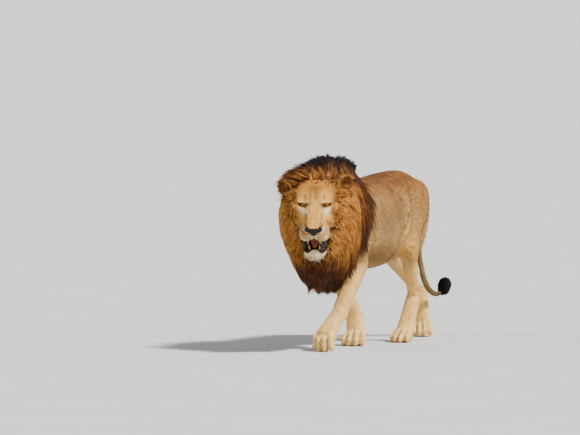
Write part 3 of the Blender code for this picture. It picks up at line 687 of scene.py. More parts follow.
def under_leather(head):
    """1 where the skin lies beneath the nose leather."""
    x, y, z = head.T
    near = (np.abs(x) < 0.07) & (y < -0.10) & (z < -0.03) & (z > -0.13)
    found = np.zeros(len(head))
    if near.any():
        found[near] = smoothstep(0.0005, -0.0015, gap_outside(NOSE_TREE, out_of_head(head[near])))
    return found * leather_area(head)


def thin_canines(head):
    """Draws the skin in where the long teeth stand, so that it stays inside them."""
    for root, tip, _, _ in LONG_TEETH:
        for side in SIDES:
            start = np.array((side * root[0], root[1], root[2]))
            along = np.array((side * tip[0], tip[1], tip[2])) - start
            t = (head - start) @ along / (along @ along)
            axis = start + np.clip(t, 0, 1)[:, None] * along
            away = np.linalg.norm(head - axis, axis=1)
            near = smoothstep(0.017, 0.012, away) * smoothstep(-0.12, 0.04, t)
            head = head + (0.85 * near)[:, None] * (axis - head)
    return head


def sculpt_face(skin):
    """Eyelids, brows, folds, whisker pads and lips."""
    refine(skin, face_area(in_head(places(skin))))
    refine(skin, fine_area(in_head(places(skin))), 1)
    move_to(skin, out_of_head(clear_mouth(in_head(places(skin)))))
    head = in_head(places(skin))
    out = normals(skin) @ INTO_HEAD[:3, :3].T
    facing = smoothstep(0.10, 0.45, -out[:, 1]) * smoothstep(0.11, 0.07, head[:, 1])
    rise = np.zeros(len(head))
    for path, width, height in FACE_STROKES:
        for side in SIDES:
            mirrored = [(side * x, z) for x, z in path]
            rise += height * near_path(head[:, ::2], mirrored, width)
    rise -= 0.0018 * near_path(head[:, ::2], FOREHEAD_CREASE, 0.0080)
    rise *= facing
    for row in range(WHISKER_ROWS):
        for side in SIDES:
            mirrored = [(side * x, z) for x, z in whisker_row(row)]
            rise -= 0.0011 * near_path(head[:, ::2], mirrored, 0.0024) * facing
    front = smoothstep(-0.11, -0.125, head[:, 1])
    rise -= 0.0050 * front * near_path(head[:, ::2], ((0, -0.086), (0, -0.135)), 0.0030)
    level = mouth_level(head)
    rise += 0.0030 * bump_at(level - 1.10, 0.07) * smoothstep(0.0, 0.5, np.abs(out[:, 1]))
    over, _ = jaw_line(head)
    rise += 0.0040 * lower_lip(head) * smoothstep(1.02, 1.2, level)
    rise -= 0.0030 * bump_at(over + 0.003, 0.004) * smoothstep(0.0, -0.03, head[:, 1])
    rise += 0.0045 * lower_lip(head) * bump_at(np.abs(head[:, 0]) - 0.048, 0.016)
    rise += 0.0016 * lower_lip(head) * (flecks(head, 0.006) - 0.5)
    rise -= 0.0090 * under_leather(head)
    head = open_eyes(thin_canines(head + out * rise[:, None]))
    move_to(skin, out_of_head(head))


# ---------------------------------------------------------------- colours
def shade(red, green, blue):
    """A linear colour from its everyday 0 to 255 values."""
    values = [c / 255 for c in (red, green, blue)]
    return np.array([((v + 0.055) / 1.055) ** 2.4 if v > 10 / 255 else v / 12.92 for v in values])


TAN = shade(170, 130, 82)
SANDY = shade(196, 158, 104)
PALE_GOLD_AND_HIGHLIGHT = shade(254, 214, 142)
THIGH_HIGHLIGHT = shade(234, 178, 96)
CREAM = shade(232, 216, 180)
GINGER = shade(160, 96, 42)
UMBER = shade(104, 70, 42)
GREY_BROWN = shade(120, 96, 70)
SOOT = shade(15, 12, 12)
FACE_GOLD = shade(228, 176, 102)
EAR_BROWN = shade(172, 122, 70)
MANE_STRAW = shade(234, 182, 116)
MANE_GOLD = shade(216, 150, 76)
MANE_RUST = shade(128, 80, 46)
MANE_BROWN = shade(78, 48, 28)
MANE_BLACK = shade(34, 25, 22)
TAIL_BLACK = shade(24, 22, 22)


def mixed(colours, other, share):
    return colours + np.clip(share, 0, 1)[:, None] * (other - colours)


# Marks of the face, seen from the front, some of them painted shade: colour, path (x, z) on the left side,
# width, strength.
WHISKER_BROWN = shade(136, 84, 40)
FACE_MARKS = (
    (GINGER, ((0.0, 0.078), (0.0, 0.120)), 0.040, 0.40),
    (GINGER, ((0.090, 0.075), (0.115, 0.030)), 0.026, 0.35),
    (SANDY, ((0.020, 0.020), (0.020, 0.045)), 0.012, 0.5),
    (CREAM, ((0.042, 0.022), (0.062, 0.024), (0.076, 0.019)), 0.0070, 0.30),
    (GINGER, ((0.049, 0.029), (0.052, 0.040)), 0.0058, 0.55),
    (UMBER, ((0.052, 0.040), (0.054, 0.042)), 0.0036, 0.55),
    (CREAM, ((0.052, -0.014), (0.065, -0.018), (0.080, -0.013)), 0.0096, 1.0),
    (CREAM, ((0.058, -0.030), (0.070, -0.032)), 0.0100, 0.36),
    (UMBER, ((0.047, -0.014), (0.043, -0.030)), 0.0042, 0.55),
    (UMBER, ((0.046, -0.062), (0.046, -0.084)), 0.0060, 0.30),
    (TAN, ((0.020, -0.010), (0.022, -0.050)), 0.0180, 0.30),
    # Painted shade down the sides of the nose bridge, where they fall away.
    (UMBER, ((0.041, -0.026), (0.036, -0.058)), 0.0070, 0.46),
    # Painted shade in the cheek hollows.
    (UMBER, ((0.070, -0.072), (0.082, -0.100)), 0.0120, 0.34),
    # Painted shade beside the swellings between the brows.
    (UMBER, ((0.020, 0.040), (0.024, 0.074)), 0.0080, 0.26),
    # Painted shade along the outer edge of the face, against the mane.
    (UMBER, ((0.108, 0.030), (0.102, -0.050), (0.090, -0.105)), 0.0190, 0.52),
    (CREAM, ((0.0, -0.108), (0.028, -0.116), (0.054, -0.128)), 0.0230, 0.95),
    (CREAM, ((0.048, -0.068), (0.056, -0.080)), 0.0080, 0.50),
    (SOOT, ((0.036, -0.063), (0.047, -0.057)), 0.0052, 0.95),
)
SPECKLE = 0.010  # spacing of the small darker flecks on the nose and cheeks
CREASE_SHADOW_WIDTH = 0.011
CREASE_SHADOW = 0.72


def flecks(points, size):
    """Soft random spots, nought to one, from three crossed waves."""
    a, b, c = (points / size).T
    first = np.sin(a * 2.1 + 1.7 * np.sin(b * 1.3))
    second = np.sin(b * 1.9 + 1.3 * np.sin(c * 1.7))
    third = np.sin(c * 2.3 + 1.9 * np.sin(a * 1.1))
    return 0.5 + 0.5 * first * second * third


def eye_rim(head):
    """Strength of the black rim round the eyes, with its spur towards the nose."""
    strength = np.zeros(len(head))
    for side in SIDES:
        _, _, across, up, outside = eye_plot(head, side)
        rim = 0.0030 + 0.0012 * smoothstep(0.004, 0.015, np.abs(across)) + 0.0008 * (up > 0)
        strength = np.maximum(strength, smoothstep(rim + 0.0014, rim - 0.0006, outside))
        centre = eye_centre(side)
        _, outward, upward = eye_axes(side)
        spur = (centre - outward * 0.0160, centre - outward * 0.0205 - upward * 0.0125)
        flat = np.stack([(head - centre) @ outward, (head - centre) @ upward], 1)
        spur = [((s - centre) @ outward, (s - centre) @ upward) for s in spur]
        near = smoothstep(0.060, 0.045, np.linalg.norm(head - centre, axis=1))
        strength = np.maximum(strength, near * smoothstep(0.0050, 0.0030, distance_to_path(flat, spur)))
    return strength


def lips(head):
    """Strength of the black of the lips, and of the painted shade that blackens the inside of the mouth."""
    level = mouth_level(head)
    x, y, z = head.T
    edge = np.where(z < -0.192, 1.30, 1.13) + 0.10 * smoothstep(0.02, 0.05, np.abs(x))
    return smoothstep(edge + 0.09, edge - 0.03, level) * (y < 0.03)


def face_colour(head):
    x, y, z = head.T
    colour = np.tile(FACE_GOLD, (len(head), 1))
    rim = smoothstep(0.082, 0.112, np.abs(x)) * smoothstep(-0.13, -0.08, z)
    colour = mixed(colour, MANE_GOLD, np.maximum(0.8 * smoothstep(0.03, 0.09, y), 0.65 * rim))
    facing = smoothstep(0.09, 0.06, y)
    broken = 0.78 + 0.34 * flecks(head, 0.009)
    for mark, path, width, strength in FACE_MARKS:
        for side in SIDES:
            mirrored = [(side * a, b) for a, b in path]
            share = strength * near_path(head[:, ::2], mirrored, width) * facing * broken
            colour = mixed(colour, mark, share)
    # Painted shade along the forehead's crease.
    crease_shade = near_path(head[:, ::2], FOREHEAD_CREASE, 0.0065)
    colour = mixed(colour, UMBER, 0.36 * crease_shade * facing)
    muzzle = smoothstep(-0.04, -0.09, y)
    for row in range(WHISKER_ROWS):
        for side in SIDES:
            mirrored = [(side * a, b) for a, b in whisker_row(row)]
            streak = near_path(head[:, ::2], mirrored, 0.0026)
            colour = mixed(colour, WHISKER_BROWN, 0.9 * muzzle * streak)
    speckled = smoothstep(0.50, 0.80, flecks(head, SPECKLE)) * smoothstep(0.03, -0.03, z)
    colour = mixed(colour, GINGER, 0.45 * speckled)
    colour = mixed(colour, UMBER, 0.20 * smoothstep(0.62, 0.92, flecks(head + 2.0, 0.007)) * facing)
    over, _ = jaw_line(head)
    chin = smoothstep(0.004, -0.006, over) * smoothstep(0.02, -0.03, y)
    colour = mixed(colour, CREAM, 0.95 * chin)
    colour = mixed(colour, SOOT, 0.97 * lower_lip(head))
    groove = near_path(head[:, ::2], ((0, -0.088), (0, -0.132)), 0.0024)
    colour = mixed(colour, SOOT, 0.8 * groove * muzzle)
    # Black lips, and painted shade filling the inside of the mouth.
    colour = mixed(colour, SOOT, 0.97 * lips(head))
    colour = mixed(colour, SOOT, under_leather(head))
    return mixed(colour, SOOT, 0.97 * eye_rim(head))


def body_colour(points):
    """Colour of the short coat away from the head."""
    x, y, z = (points - WITHERS).T
    plane = np.stack([y, z], 1)
    top = TOP_OF_BACK
    colour = np.tile(TAN, (len(points), 1))
    colour = mixed(colour, SANDY, smoothstep(0.78, 0.58, z) * 0.7)
    loins = smoothstep(0.90, 0.62, y)
    colour = mixed(colour, GINGER, (0.30 + 0.45 * loins) * smoothstep(top - 0.16, top - 0.06, z))
    strip = smoothstep(top - 0.12, top - 0.03, z) * (0.55 + 0.45 * flecks(points, 0.04))
    colour = mixed(colour, UMBER, (0.56 + 0.40 * loins) * strip)
    flank = bump_at(np.hypot(y - 0.40, z - 0.66), 0.20)
    colour = mixed(colour, GREY_BROWN, 0.55 * flank * (0.5 + 0.5 * flecks(points, 0.03)))
    # Painted highlight: the front of the thigh, where light falls on it.
    thigh = near_path(plane, ((0.66, 0.74), (0.64, 0.60)), 0.060)
    colour = mixed(colour, PALE_GOLD_AND_HIGHLIGHT, 0.34 * thigh)
    # Painted shade in the sculpted hollows of the trunk.
    for side in SIDES:
        for path, width, height in body_strokes(side)[:7]:
            if height < 0:
                fold = near_path(plane, path, 0.8 * width) * (side * x > 0.04)
                colour = mixed(colour, UMBER, 0.40 * fold)
        for path in CREASES:
            fold = near_path(plane, path, CREASE_SHADOW_WIDTH) * (side * x > 0.04)
            colour = mixed(colour, UMBER, CREASE_SHADOW * fold)
    # Painted highlight: the golden front of the thigh above the stifle, where light falls.
    stifle = near_path(plane, ((0.650, 0.590), (0.690, 0.520)), 0.050)
    colour = mixed(colour, THIGH_HIGHLIGHT, 0.60 * stifle)
    # Paler coat on the legs, made brighter still as painted light.
    colour = mixed(colour, PALE_GOLD_AND_HIGHLIGHT, 0.9 * smoothstep(0.54, 0.36, z))
    under = smoothstep(BELLY_HEIGHT + 0.09, BELLY_HEIGHT + 0.03, z) * smoothstep(0.17, 0.10, np.abs(x))
    colour = mixed(colour, CREAM, 0.22 * under * (z > 0.40))
    # Painted shade low on the flank, under the ribs.
    low_flank_shade = smoothstep(0.60, 0.50, z) * (z > BELLY_HEIGHT)
    low_flank_shade = low_flank_shade * smoothstep(0.08, 0.18, y) * smoothstep(0.62, 0.52, y)
    colour = mixed(colour, UMBER, 0.52 * low_flank_shade)
    colour = mixed(colour, CREAM, 0.18 * smoothstep(0.12, 0.04, z))
    for side in SIDES:
        leg = (side * x > 0) * smoothstep(0.50, 0.42, z) * smoothstep(0.10, 0.20, z)
        for joints in (FORE_JOINTS, HIND_JOINTS):
            behind = distance_to_path(plane, [shifted(j, 0.055, 0) for j in joints[side][1:]])
            colour = mixed(colour, GINGER, 0.25 * leg * bump_at(behind, 0.022))
    for name in PAWS:
        local, width = in_paw(points, name)
        cleft, _ = toe_forms(local, width)
        # Painted shade in the clefts between the toes.
        colour = mixed(colour, UMBER, 0.75 * cleft * toe_area(local))
        colour = mixed(colour, GINGER, 0.30 * toe_area(local) * smoothstep(0.4, 0.9, flecks(points, 0.02)))
    colour = mixed(colour, UMBER, 0.16 * smoothstep(0.45, 0.95, flecks(points, 0.055)))
    return mixed(colour, SANDY, 0.28 * smoothstep(0.5, 0.95, flecks(points + 3.0, 0.035)))


def tail_colour(points, colour):
    """Darkens towards the tip of the tail."""
    _, y, z = (points - WITHERS).T
    share = 0.35 * smoothstep(0.62, 0.36, z) + 0.5 * smoothstep(1.20, 1.45, y)
    return mixed(colour, GREY_BROWN, 0.50 + 0.5 * share) * (0.86 - 0.34 * share)[:, None]


def ear_colour(head):
    """Ginger rims, pale hair towards the crown, painted shade in the hollow and a black patch behind."""
    colour = np.tile(EAR_BROWN, (len(head), 1))
    for side in SIDES:
        across, up, behind = ear_plot(head, side)
        mine = side * head[:, 0] > 0
        front = smoothstep(0.002, -0.002, behind)
        rear = smoothstep(0.000, 0.004, behind)
        hollow = front * bump_at(np.hypot(across, (up - 0.34) * 1.3), 0.42)
        pale = front * smoothstep(0.2, -0.6, across) * smoothstep(0.15, 0.5, up)
        colour = np.where(mine[:, None], mixed(colour, FACE_GOLD, 0.55 * pale), colour)
        # Painted shade in the hollow of the ear.
        colour = np.where(mine[:, None], mixed(colour, UMBER, 0.80 * hollow), colour)
        rim = smoothstep(0.62, 0.95, np.maximum(np.abs(across), up))
        colour = np.where(mine[:, None], mixed(colour, MANE_RUST, 0.45 * rim), colour)
        patch = rear * smoothstep(0.15, 0.35, up) * smoothstep(0.88, 0.72, up)
        colour = np.where(mine[:, None], mixed(colour, SOOT, 0.85 * patch), colour)
    return colour


def coat_colour(points):
    """Colour of skin and coat at any place, the same for both."""
    node, _ = BODY.near(points)
    words = np.array(BODY.names)[node]
    colour = body_colour(points)
    head = in_head(points)
    on_head = spread_mask(head)
    colour = mixed(colour, 0, on_head) + on_head[:, None] * face_colour(head)
    tail = np.char.startswith(words, "tail")
    colour = np.where(tail[:, None], tail_colour(points, colour), colour)
    ear = np.char.startswith(words, "ear")
    return np.where(ear[:, None], ear_colour(head), colour)


def spread_mask(head):
    """1 on the head and jaw, fading out where the neck begins."""
    x, y, z = head.T
    beside = smoothstep(0.20, 0.15, y) * smoothstep(0.20, 0.17, np.abs(x))
    return beside * smoothstep(-0.34, -0.30, z) * smoothstep(0.20, 0.16, z)


TOP_OF_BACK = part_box("trunk_rump")[1].z
BELLY_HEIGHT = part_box("trunk_ribs")[0].z
MIDLINE = middle("trunk_loins").x


def paint(piece, colours, gloss=1.0):
    """Stores a colour for each vertex, and in its alpha how wet it is, which the piece's material reads."""
    layer = piece.data.color_attributes.new(name="Coat", type="FLOAT_COLOR", domain="POINT")
    full = np.ones((len(colours), 4), np.float32)
    full[:, :3] = colours
    full[:, 3] = gloss
    layer.data.foreach_set("color", full.ravel())


# ---------------------------------------------------------------- materials
class Nodes:
    """Short way to add and wire shader nodes."""

    def __init__(self, name):
        self.material = bpy.data.materials.new(name)
        self.material.use_nodes = True
        self.tree = self.material.node_tree
        self.shader = self.tree.nodes["Principled BSDF"]

    def add(self, kind, **settings):
        node = self.tree.nodes.new("ShaderNode" + kind)
        for key, value in settings.items():
            if key in node.inputs:
                node.inputs[key].default_value = value
            else:
                setattr(node, key, value)
        return node

    def wire(self, source, target):
        self.tree.links.new(source, target)

    def set(self, **values):
        for key, value in values.items():
            self.shader.inputs[key.replace("_", " ")].default_value = value

    def coordinates(self, scale):
        where = self.add("TexCoord")
        mapping = self.add("Mapping")
        mapping.inputs["Scale"].default_value = scale
        self.wire(where.outputs["Object"], mapping.inputs["Vector"])
        return mapping.outputs["Vector"]

    def noise(self, scale, size=1.0, detail=3.0):
        node = self.add("TexNoise", Scale=size, Detail=detail)
        self.wire(self.coordinates(scale), node.inputs["Vector"])
        return node.outputs["Fac"]

    def scaled(self, colour, factor, low, high):
        """A colour made lighter or darker by a pattern brought into a range round one."""
        span = self.add("MapRange")
        span.inputs["To Min"].default_value = low
        span.inputs["To Max"].default_value = high
        self.wire(factor, span.inputs["Value"])
        mix = self.add("VectorMath", operation="SCALE")
        self.wire(colour, mix.inputs[0])
        self.wire(span.outputs["Result"], mix.inputs["Scale"])
        return mix.outputs["Vector"]


def skin_material():
    """Short fur seen close: painted colour with fine streaks along the body and down the legs."""
    m = Nodes("short_coat")
    painted = m.add("Attribute", attribute_name="Coat")
    paint_in = painted.outputs["Color"]
    along = m.noise((420, 60, 420))
    down = m.noise((420, 420, 70))
    patches = m.noise((16, 16, 16), detail=4.0)
    colour = m.scaled(paint_in, along, 0.70, 1.22)
    colour = m.scaled(colour, down, 0.78, 1.18)
    colour = m.scaled(colour, patches, 0.86, 1.12)
    m.wire(colour, m.shader.inputs["Base Color"])
    height = m.add("Math", operation="ADD")
    m.wire(along, height.inputs[0])
    m.wire(down, height.inputs[1])
    bump = m.add("Bump", Strength=0.6, Distance=0.003)
    m.wire(height.outputs[0], bump.inputs["Height"])
    m.wire(bump.outputs["Normal"], m.shader.inputs["Normal"])
    wet = m.add("MapRange")
    wet.inputs["To Min"].default_value = 0.78
    wet.inputs["To Max"].default_value = 0.34
    m.wire(painted.outputs["Alpha"], wet.inputs["Value"])
    m.wire(wet.outputs["Result"], m.shader.inputs["Roughness"])
    m.set(Specular_IOR_Level=0.28)
    return m.material


def hair_material(name, roughness, low, high):
    """Hair: its painted colour, varied from hair to hair."""
    m = Nodes(name)
    paint_in = m.add("Attribute", attribute_name="Coat").outputs["Color"]
    colour = m.scaled(paint_in, m.noise((150, 150, 150)), low, high)
    m.wire(colour, m.shader.inputs["Base Color"])
    m.set(Roughness=roughness, Specular_IOR_Level=0.35)
    return m.material


def wear(piece, material):
    piece.data.materials.clear()
    piece.data.materials.append(material)


# ---------------------------------------------------------------- the lie of the coat
def end_of(node, axis, top):
    """Middle of the vertices in the tenth of a node that lies furthest along an axis, or least far."""
    points = np.array([v.co for v in NODES[node].data.vertices])
    reach = points[:, axis] if top else -points[:, axis]
    return points[reach >= np.quantile(reach, 0.88)].mean(0)


def lie_lines():
    """For each node, the line that its hair follows, from its head end to its far end."""
    lines = {}
    for node in FLESH:
        if node.startswith(("trunk", "neck")) or node == "tail_end":
            lines[node] = (end_of(node, 1, False), end_of(node, 1, True))
        elif "paw" in node:
            lines[node] = (end_of(node, 2, True), end_of(node, 1, False))
        elif node.startswith(("foreleg", "hindleg", "tail")):
            lines[node] = (end_of(node, 2, True), end_of(node, 2, False))
    return lines


LIES = lie_lines()
NOSE_TIP = np.array((0.0, -0.150, -0.072))


def lie(points):
    """Unit direction in which the short hair points at each place."""
    total = np.zeros_like(points)
    for start, end in LIES.values():
        weight = (distance_to_path(points, (start, end)) + 0.01) ** -5
        total += weight[:, None] * unit(end - start)
    total = unit(total)
    head = in_head(points)
    away = unit(head - NOSE_TIP)
    share = spread_mask(head)[:, None]
    return unit(total * (1 - share) + turned_out_of_head(away) * share)


# ---------------------------------------------------------------- roots on a surface
class Ground:
    """A surface that hair grows on, with its unwrap."""

    def __init__(self, piece, faces_for_unwrap=6000):
        self.piece = piece
        mesh = piece.data
        mesh.calc_loop_triangles()
        corners = np.empty(len(mesh.loop_triangles) * 3, np.int32)
        mesh.loop_triangles.foreach_get("vertices", corners)
        self.points = places(piece)
        self.normals = normals(piece)
        self.triangles = corners.reshape(-1, 3)
        a, b, c = (self.points[self.triangles[:, k]] for k in range(3))
        self.middles = (a + b + c) / 3
        cross = np.cross(b - a, c - a)
        self.areas = np.linalg.norm(cross, axis=1) / 2
        self.face_normals = unit(cross)
        self.tree = BVHTree.FromPolygons(self.points.tolist(), self.triangles.tolist())
        self.make_unwrap(faces_for_unwrap)

    def make_unwrap(self, faces):
        plain = self.piece.copy()
        plain.data = self.piece.data.copy()
        plain.name = "unwrap"
        bpy.context.scene.collection.objects.link(plain)
        apply(plain, "DECIMATE", ratio=min(1.0, faces / len(self.triangles)))
        apply(plain, "TRIANGULATE")
        activate(plain)
        bpy.ops.object.mode_set(mode="EDIT")
        bpy.ops.mesh.select_all(action="SELECT")
        bpy.ops.uv.smart_project(angle_limit=math.radians(66), island_margin=0.004)
        bpy.ops.object.mode_set(mode="OBJECT")
        mesh = plain.data
        uv = np.empty(len(mesh.loops) * 2)
        mesh.uv_layers.active.data.foreach_get("uv", uv)
        self.map_uv = uv.reshape(-1, 3, 2)
        corners = np.empty(len(mesh.loops), np.int32)
        mesh.loops.foreach_get("vertex_index", corners)
        self.map_corners = places(plain)[corners].reshape(-1, 3, 3)
        self.map_tree = BVHTree.FromPolygons(places(plain).tolist(), corners.reshape(-1, 3).tolist())
        bpy.data.objects.remove(plain)

    def unwrapped(self, points):
        """Place of each point on the unwrap."""
        found = [self.map_tree.find_nearest(p) for p in points.tolist()]
        face = np.array([f[2] for f in found])
        where = np.array([f[0] for f in found])
        a, b, c = (self.map_corners[face, k] for k in range(3))
        ab, ac, ap = b - a, c - a, where - a
        d00, d01, d11 = (ab * ab).sum(1), (ab * ac).sum(1), (ac * ac).sum(1)
        d20, d21 = (ap * ab).sum(1), (ap * ac).sum(1)
        under = np.maximum(d00 * d11 - d01 * d01, 1e-18)
        v = (d11 * d20 - d01 * d21) / under
        w = (d00 * d21 - d01 * d20) / under
        uv = self.map_uv[face]
        return uv[:, 0] * (1 - v - w)[:, None] + uv[:, 1] * v[:, None] + uv[:, 2] * w[:, None]

    def roots(self, count, weights):
        """About this many places spread over the triangles by area times weight, with their normals."""
        total = np.cumsum(self.areas * weights)
        marks = (np.arange(count) + LUCK.random(count)) * total[-1] / count
        face = np.searchsorted(total, marks)
        a, b = LUCK.random((2, count))
        over = a + b > 1
        a, b = np.where(over, 1 - a, a), np.where(over, 1 - b, b)
        mix = np.stack([1 - a - b, a, b], 1)[:, :, None]
        at = (self.points[self.triangles[face]] * mix).sum(1)
        out = unit((self.normals[self.triangles[face]] * mix).sum(1))
        return at, out


# ---------------------------------------------------------------- hair meshes
def hair_piece(name, points, faces, uv, colours):
    """A mesh of triangles with its bake map and its painted colours."""
    mesh = bpy.data.meshes.new(name)
    mesh.vertices.add(len(points))
    mesh.vertices.foreach_set("co", np.ascontiguousarray(points, np.float32).ravel())
    mesh.loops.add(faces.size)
    mesh.loops.foreach_set("vertex_index", np.ascontiguousarray(faces, np.int32).ravel())
    mesh.polygons.add(len(faces))
    mesh.polygons.foreach_set("loop_start", np.arange(len(faces), dtype=np.int32) * 3)
    mesh.update(calc_edges=True)
    layer = mesh.uv_layers.new(name="OFBake")
    layer.data.foreach_set("uv", np.ascontiguousarray(uv[faces.ravel()], np.float32).ravel())
    mesh.shade_smooth()
    piece = linked(name, mesh)
    paint(piece, colours)
    return piece


PATCH = 0.0015  # half the width of a tuft's patch on the bake map


def tufts(name, roots, out, along, length, width, lift, colour, uv):
    """Short leaf-shaped tufts lying along the coat: five corners and six faces each."""
    side = unit(np.cross(along, out))
    flat = unit(along - (along * out).sum(1)[:, None] * out)
    length, width, lift = (np.broadcast_to(v, len(roots))[:, None] for v in (length, width, lift))
    root = roots - out * 0.0006
    middle_at = roots + flat * length * 0.45 + out * lift * 0.75
    ridge = middle_at + out * width * 0.28
    tip = roots + flat * length + out * lift
    left, right = middle_at - side * width / 2, middle_at + side * width / 2
    points = np.stack([root, left, right, ridge, tip], 1).reshape(-1, 3)
    pattern = np.array([(0, 3, 1), (0, 2, 3), (4, 1, 3), (4, 3, 2), (0, 1, 2), (4, 2, 1)])
    faces = (np.arange(len(roots))[:, None, None] * 5 + pattern).reshape(-1, 3)
    corners = PATCH * np.array([(0, -1), (-1, 0), (1, 0), (0, 0), (0, 1)])
    maps = (uv[:, None] + corners).reshape(-1, 2)
    # Painted light: each tuft is a little darker at its root, as shade, and a little lighter on its ridge,
    # as a highlight.
    root_shade_ridge_highlight = np.array([0.92, 1.0, 1.0, 1.03, 1.0])[:, None]
    return hair_piece(name, points, faces, maps, (colour[:, None] * root_shade_ridge_highlight).reshape(-1, 3))


def strands(name, lines, out, width, colours, uv):
    """Long tapering three-sided hairs along lines of points, closed at the root and pointed at the tip."""
    count, steps, _ = lines.shape
    along = np.gradient(lines, axis=1)
    side = unit(np.cross(along, out))
    top = unit(np.cross(side, along))
    t = np.linspace(0, 1, steps)[:-1]
    taper = (0.62 + 0.38 * np.sin(np.pi * np.minimum(1, t * 1.6 + 0.1))) * (1 - t ** 3)
    half = 0.5 * width[:, None, None] * taper[None, :, None]
    body, body_side, body_top = lines[:, :-1], side[:, :-1], top[:, :-1]
    left = body - body_side * half - body_top * half * 0.35
    right = body + body_side * half - body_top * half * 0.35
    ridge = body + body_top * half * 0.65
    rings = np.stack([left, right, ridge], 2).reshape(count, -1, 3)
    points = np.concatenate([rings, lines[:, -1:]], 1)
    each = points.shape[1]
    pattern = [(0, 1, 2)]
    for ring in range(steps - 2):
        low, high = 3 * ring, 3 * ring + 3
        for a, b in ((0, 1), (1, 2), (2, 0)):
            pattern += [(low + a, high + a, low + b), (low + b, high + a, high + b)]
    last, tip = 3 * (steps - 2), each - 1
    pattern += [(last, tip, last + 1), (last + 1, tip, last + 2), (last + 2, tip, last)]
    faces = (np.arange(count)[:, None, None] * each + np.array(pattern)).reshape(-1, 3)
    level = np.append(np.repeat(2 * t - 1, 3), 1.0)
    across = np.append(np.tile((-0.6, 0.6, 0.0), steps - 1), 0.0)
    maps = (uv[:, None] + PATCH * np.stack([across, level], 1)).reshape(-1, 2)
    shades = np.concatenate([np.repeat(colours[:, :-1], 3, axis=1), colours[:, -1:]], 1)
    return hair_piece(name, points.reshape(-1, 3), faces, maps, shades.reshape(-1, 3))


# ---------------------------------------------------------------- mane
def core_surface(name, nodes, grain, depth, rounds):
    """The outline of these solids, evened out and drawn in."""
    core = copy_of(name, nodes)
    move_to(core, places(core) + normals(core) * SEAL)
    apply(core, "REMESH", mode="VOXEL", voxel_size=grain, adaptivity=0.0)
    keep_largest(core)
    eased(core, rounds)
    move_to(core, places(core) - normals(core) * (depth + SEAL))
    eased(core, 3)
    return core


MANE_BASE = [*MANE_NODES, "neck", "trunk_ribs", "foreleg_left_upper", "foreleg_right_upper", "head", "jaw"]
WIND = np.array((-0.85, 0.22, 0.26))  # lifts the crest to the animal's right and back
DOWN = np.array((0.0, 0.0, -1.0))
BACK = np.array((0.0, 1.0, 0.0))
FACE_MIDDLE = np.array((0.0, 0.06, -0.060))


def mane_flow(points):
    """Direction of the long hair: out from the face, then back and down, and blown up along the crest."""
    x, y, z = in_ruff(points).T
    away = in_ruff(points) - FACE_MIDDLE
    ring = turned_out_of_ruff(unit(away * (1, 0, 1)))
    near = smoothstep(0.30, 0.08, y)[:, None]
    high = smoothstep(0.07, 0.17, z)[:, None]
    low = smoothstep(-0.16, -0.30, z)[:, None]
    from_face = unit(ring + turned_out_of_ruff((0, 0.55, 0)))
    sides = unit(0.62 * from_face * near + (0.60 - 0.25 * near) * BACK + (1.05 - 0.35 * near) * DOWN)
    crest = unit(0.45 * from_face * near + 0.78 * BACK + (0.58 + 0.25 * near) * WIND)
    beard = unit(0.20 * from_face + 0.25 * BACK + 1.1 * DOWN)
    flow = sides * (1 - high) + crest * high
    sway = 0.16 * np.sin(x * 31 + z * 17 + 2 * np.sin(y * 23))[:, None] * unit(np.cross(flow, BACK))
    return unit(flow * (1 - low) + beard * low + sway)


def nearest(tree, points):
    found = [tree.find_nearest(p) for p in points.tolist()]
    return np.array([f[0] for f in found]), np.array([f[1] for f in found])


LOCK_STEPS = 8


def grow(roots, out, reach, rise, cling, tree, flow):
    """Guide lines over a surface: they follow the flow, stay above it and rise towards their tips."""
    line = [roots - out * 0.003]
    line_out = [out]
    along = unit(flow(roots) + 0.9 * out)
    at = roots.copy()
    for k in range(1, LOCK_STEPS):
        along = unit(0.62 * along + 0.38 * flow(at))
        at = at + along * (reach / (LOCK_STEPS - 1))[:, None]
        under, facing = nearest(tree, at)
        height = ((at - under) * facing).sum(1)
        wanted = rise * math.sin(0.5 * math.pi * min(1.0, k / (0.8 * LOCK_STEPS)))
        lift = wanted - height
        at = at + facing * np.where(lift > 0, lift, lift * cling)[:, None]
        line.append(at)
        line_out.append(facing)
    return np.stack(line, 1), np.stack(line_out, 1)


def resampled(lines, fractions, steps):
    """Lines of points read off each line up to its own fraction of the length."""
    count, old, _ = lines.shape
    t = np.linspace(0, 1, steps)[None, :] * fractions[:, None] * (old - 1)
    low = np.minimum(t.astype(int), old - 2)
    part = (t - low)[:, :, None]
    rows = np.arange(count)[:, None]
    a, b = lines[rows, low], lines[rows, low + 1]
    before, after = lines[rows, np.maximum(low - 1, 0)], lines[rows, np.minimum(low + 2, old - 1)]
    return 0.5 * (
        2 * a + (b - before) * part + (2 * before - 5 * a + 4 * b - after) * part ** 2
        + (3 * a - before - 3 * b + after) * part ** 3
    )


STRAND_STEPS = 4
BRIGHTEST = 0.72  # of a strand's strongest colour


def strand_colours(base, luck):
    """Some strands catch the light and some are dark, as the luck of each says."""
    light = smoothstep(0.35, 1.7, luck)[:, None]
    dark = smoothstep(0.20, 1.6, -luck)[:, None]
    room = BRIGHTEST / np.maximum(base.max(axis=1, keepdims=True), 1e-6)
    return base * np.minimum(1 + 0.95 * light, np.maximum(room, 1)) * (1 - 0.70 * dark)


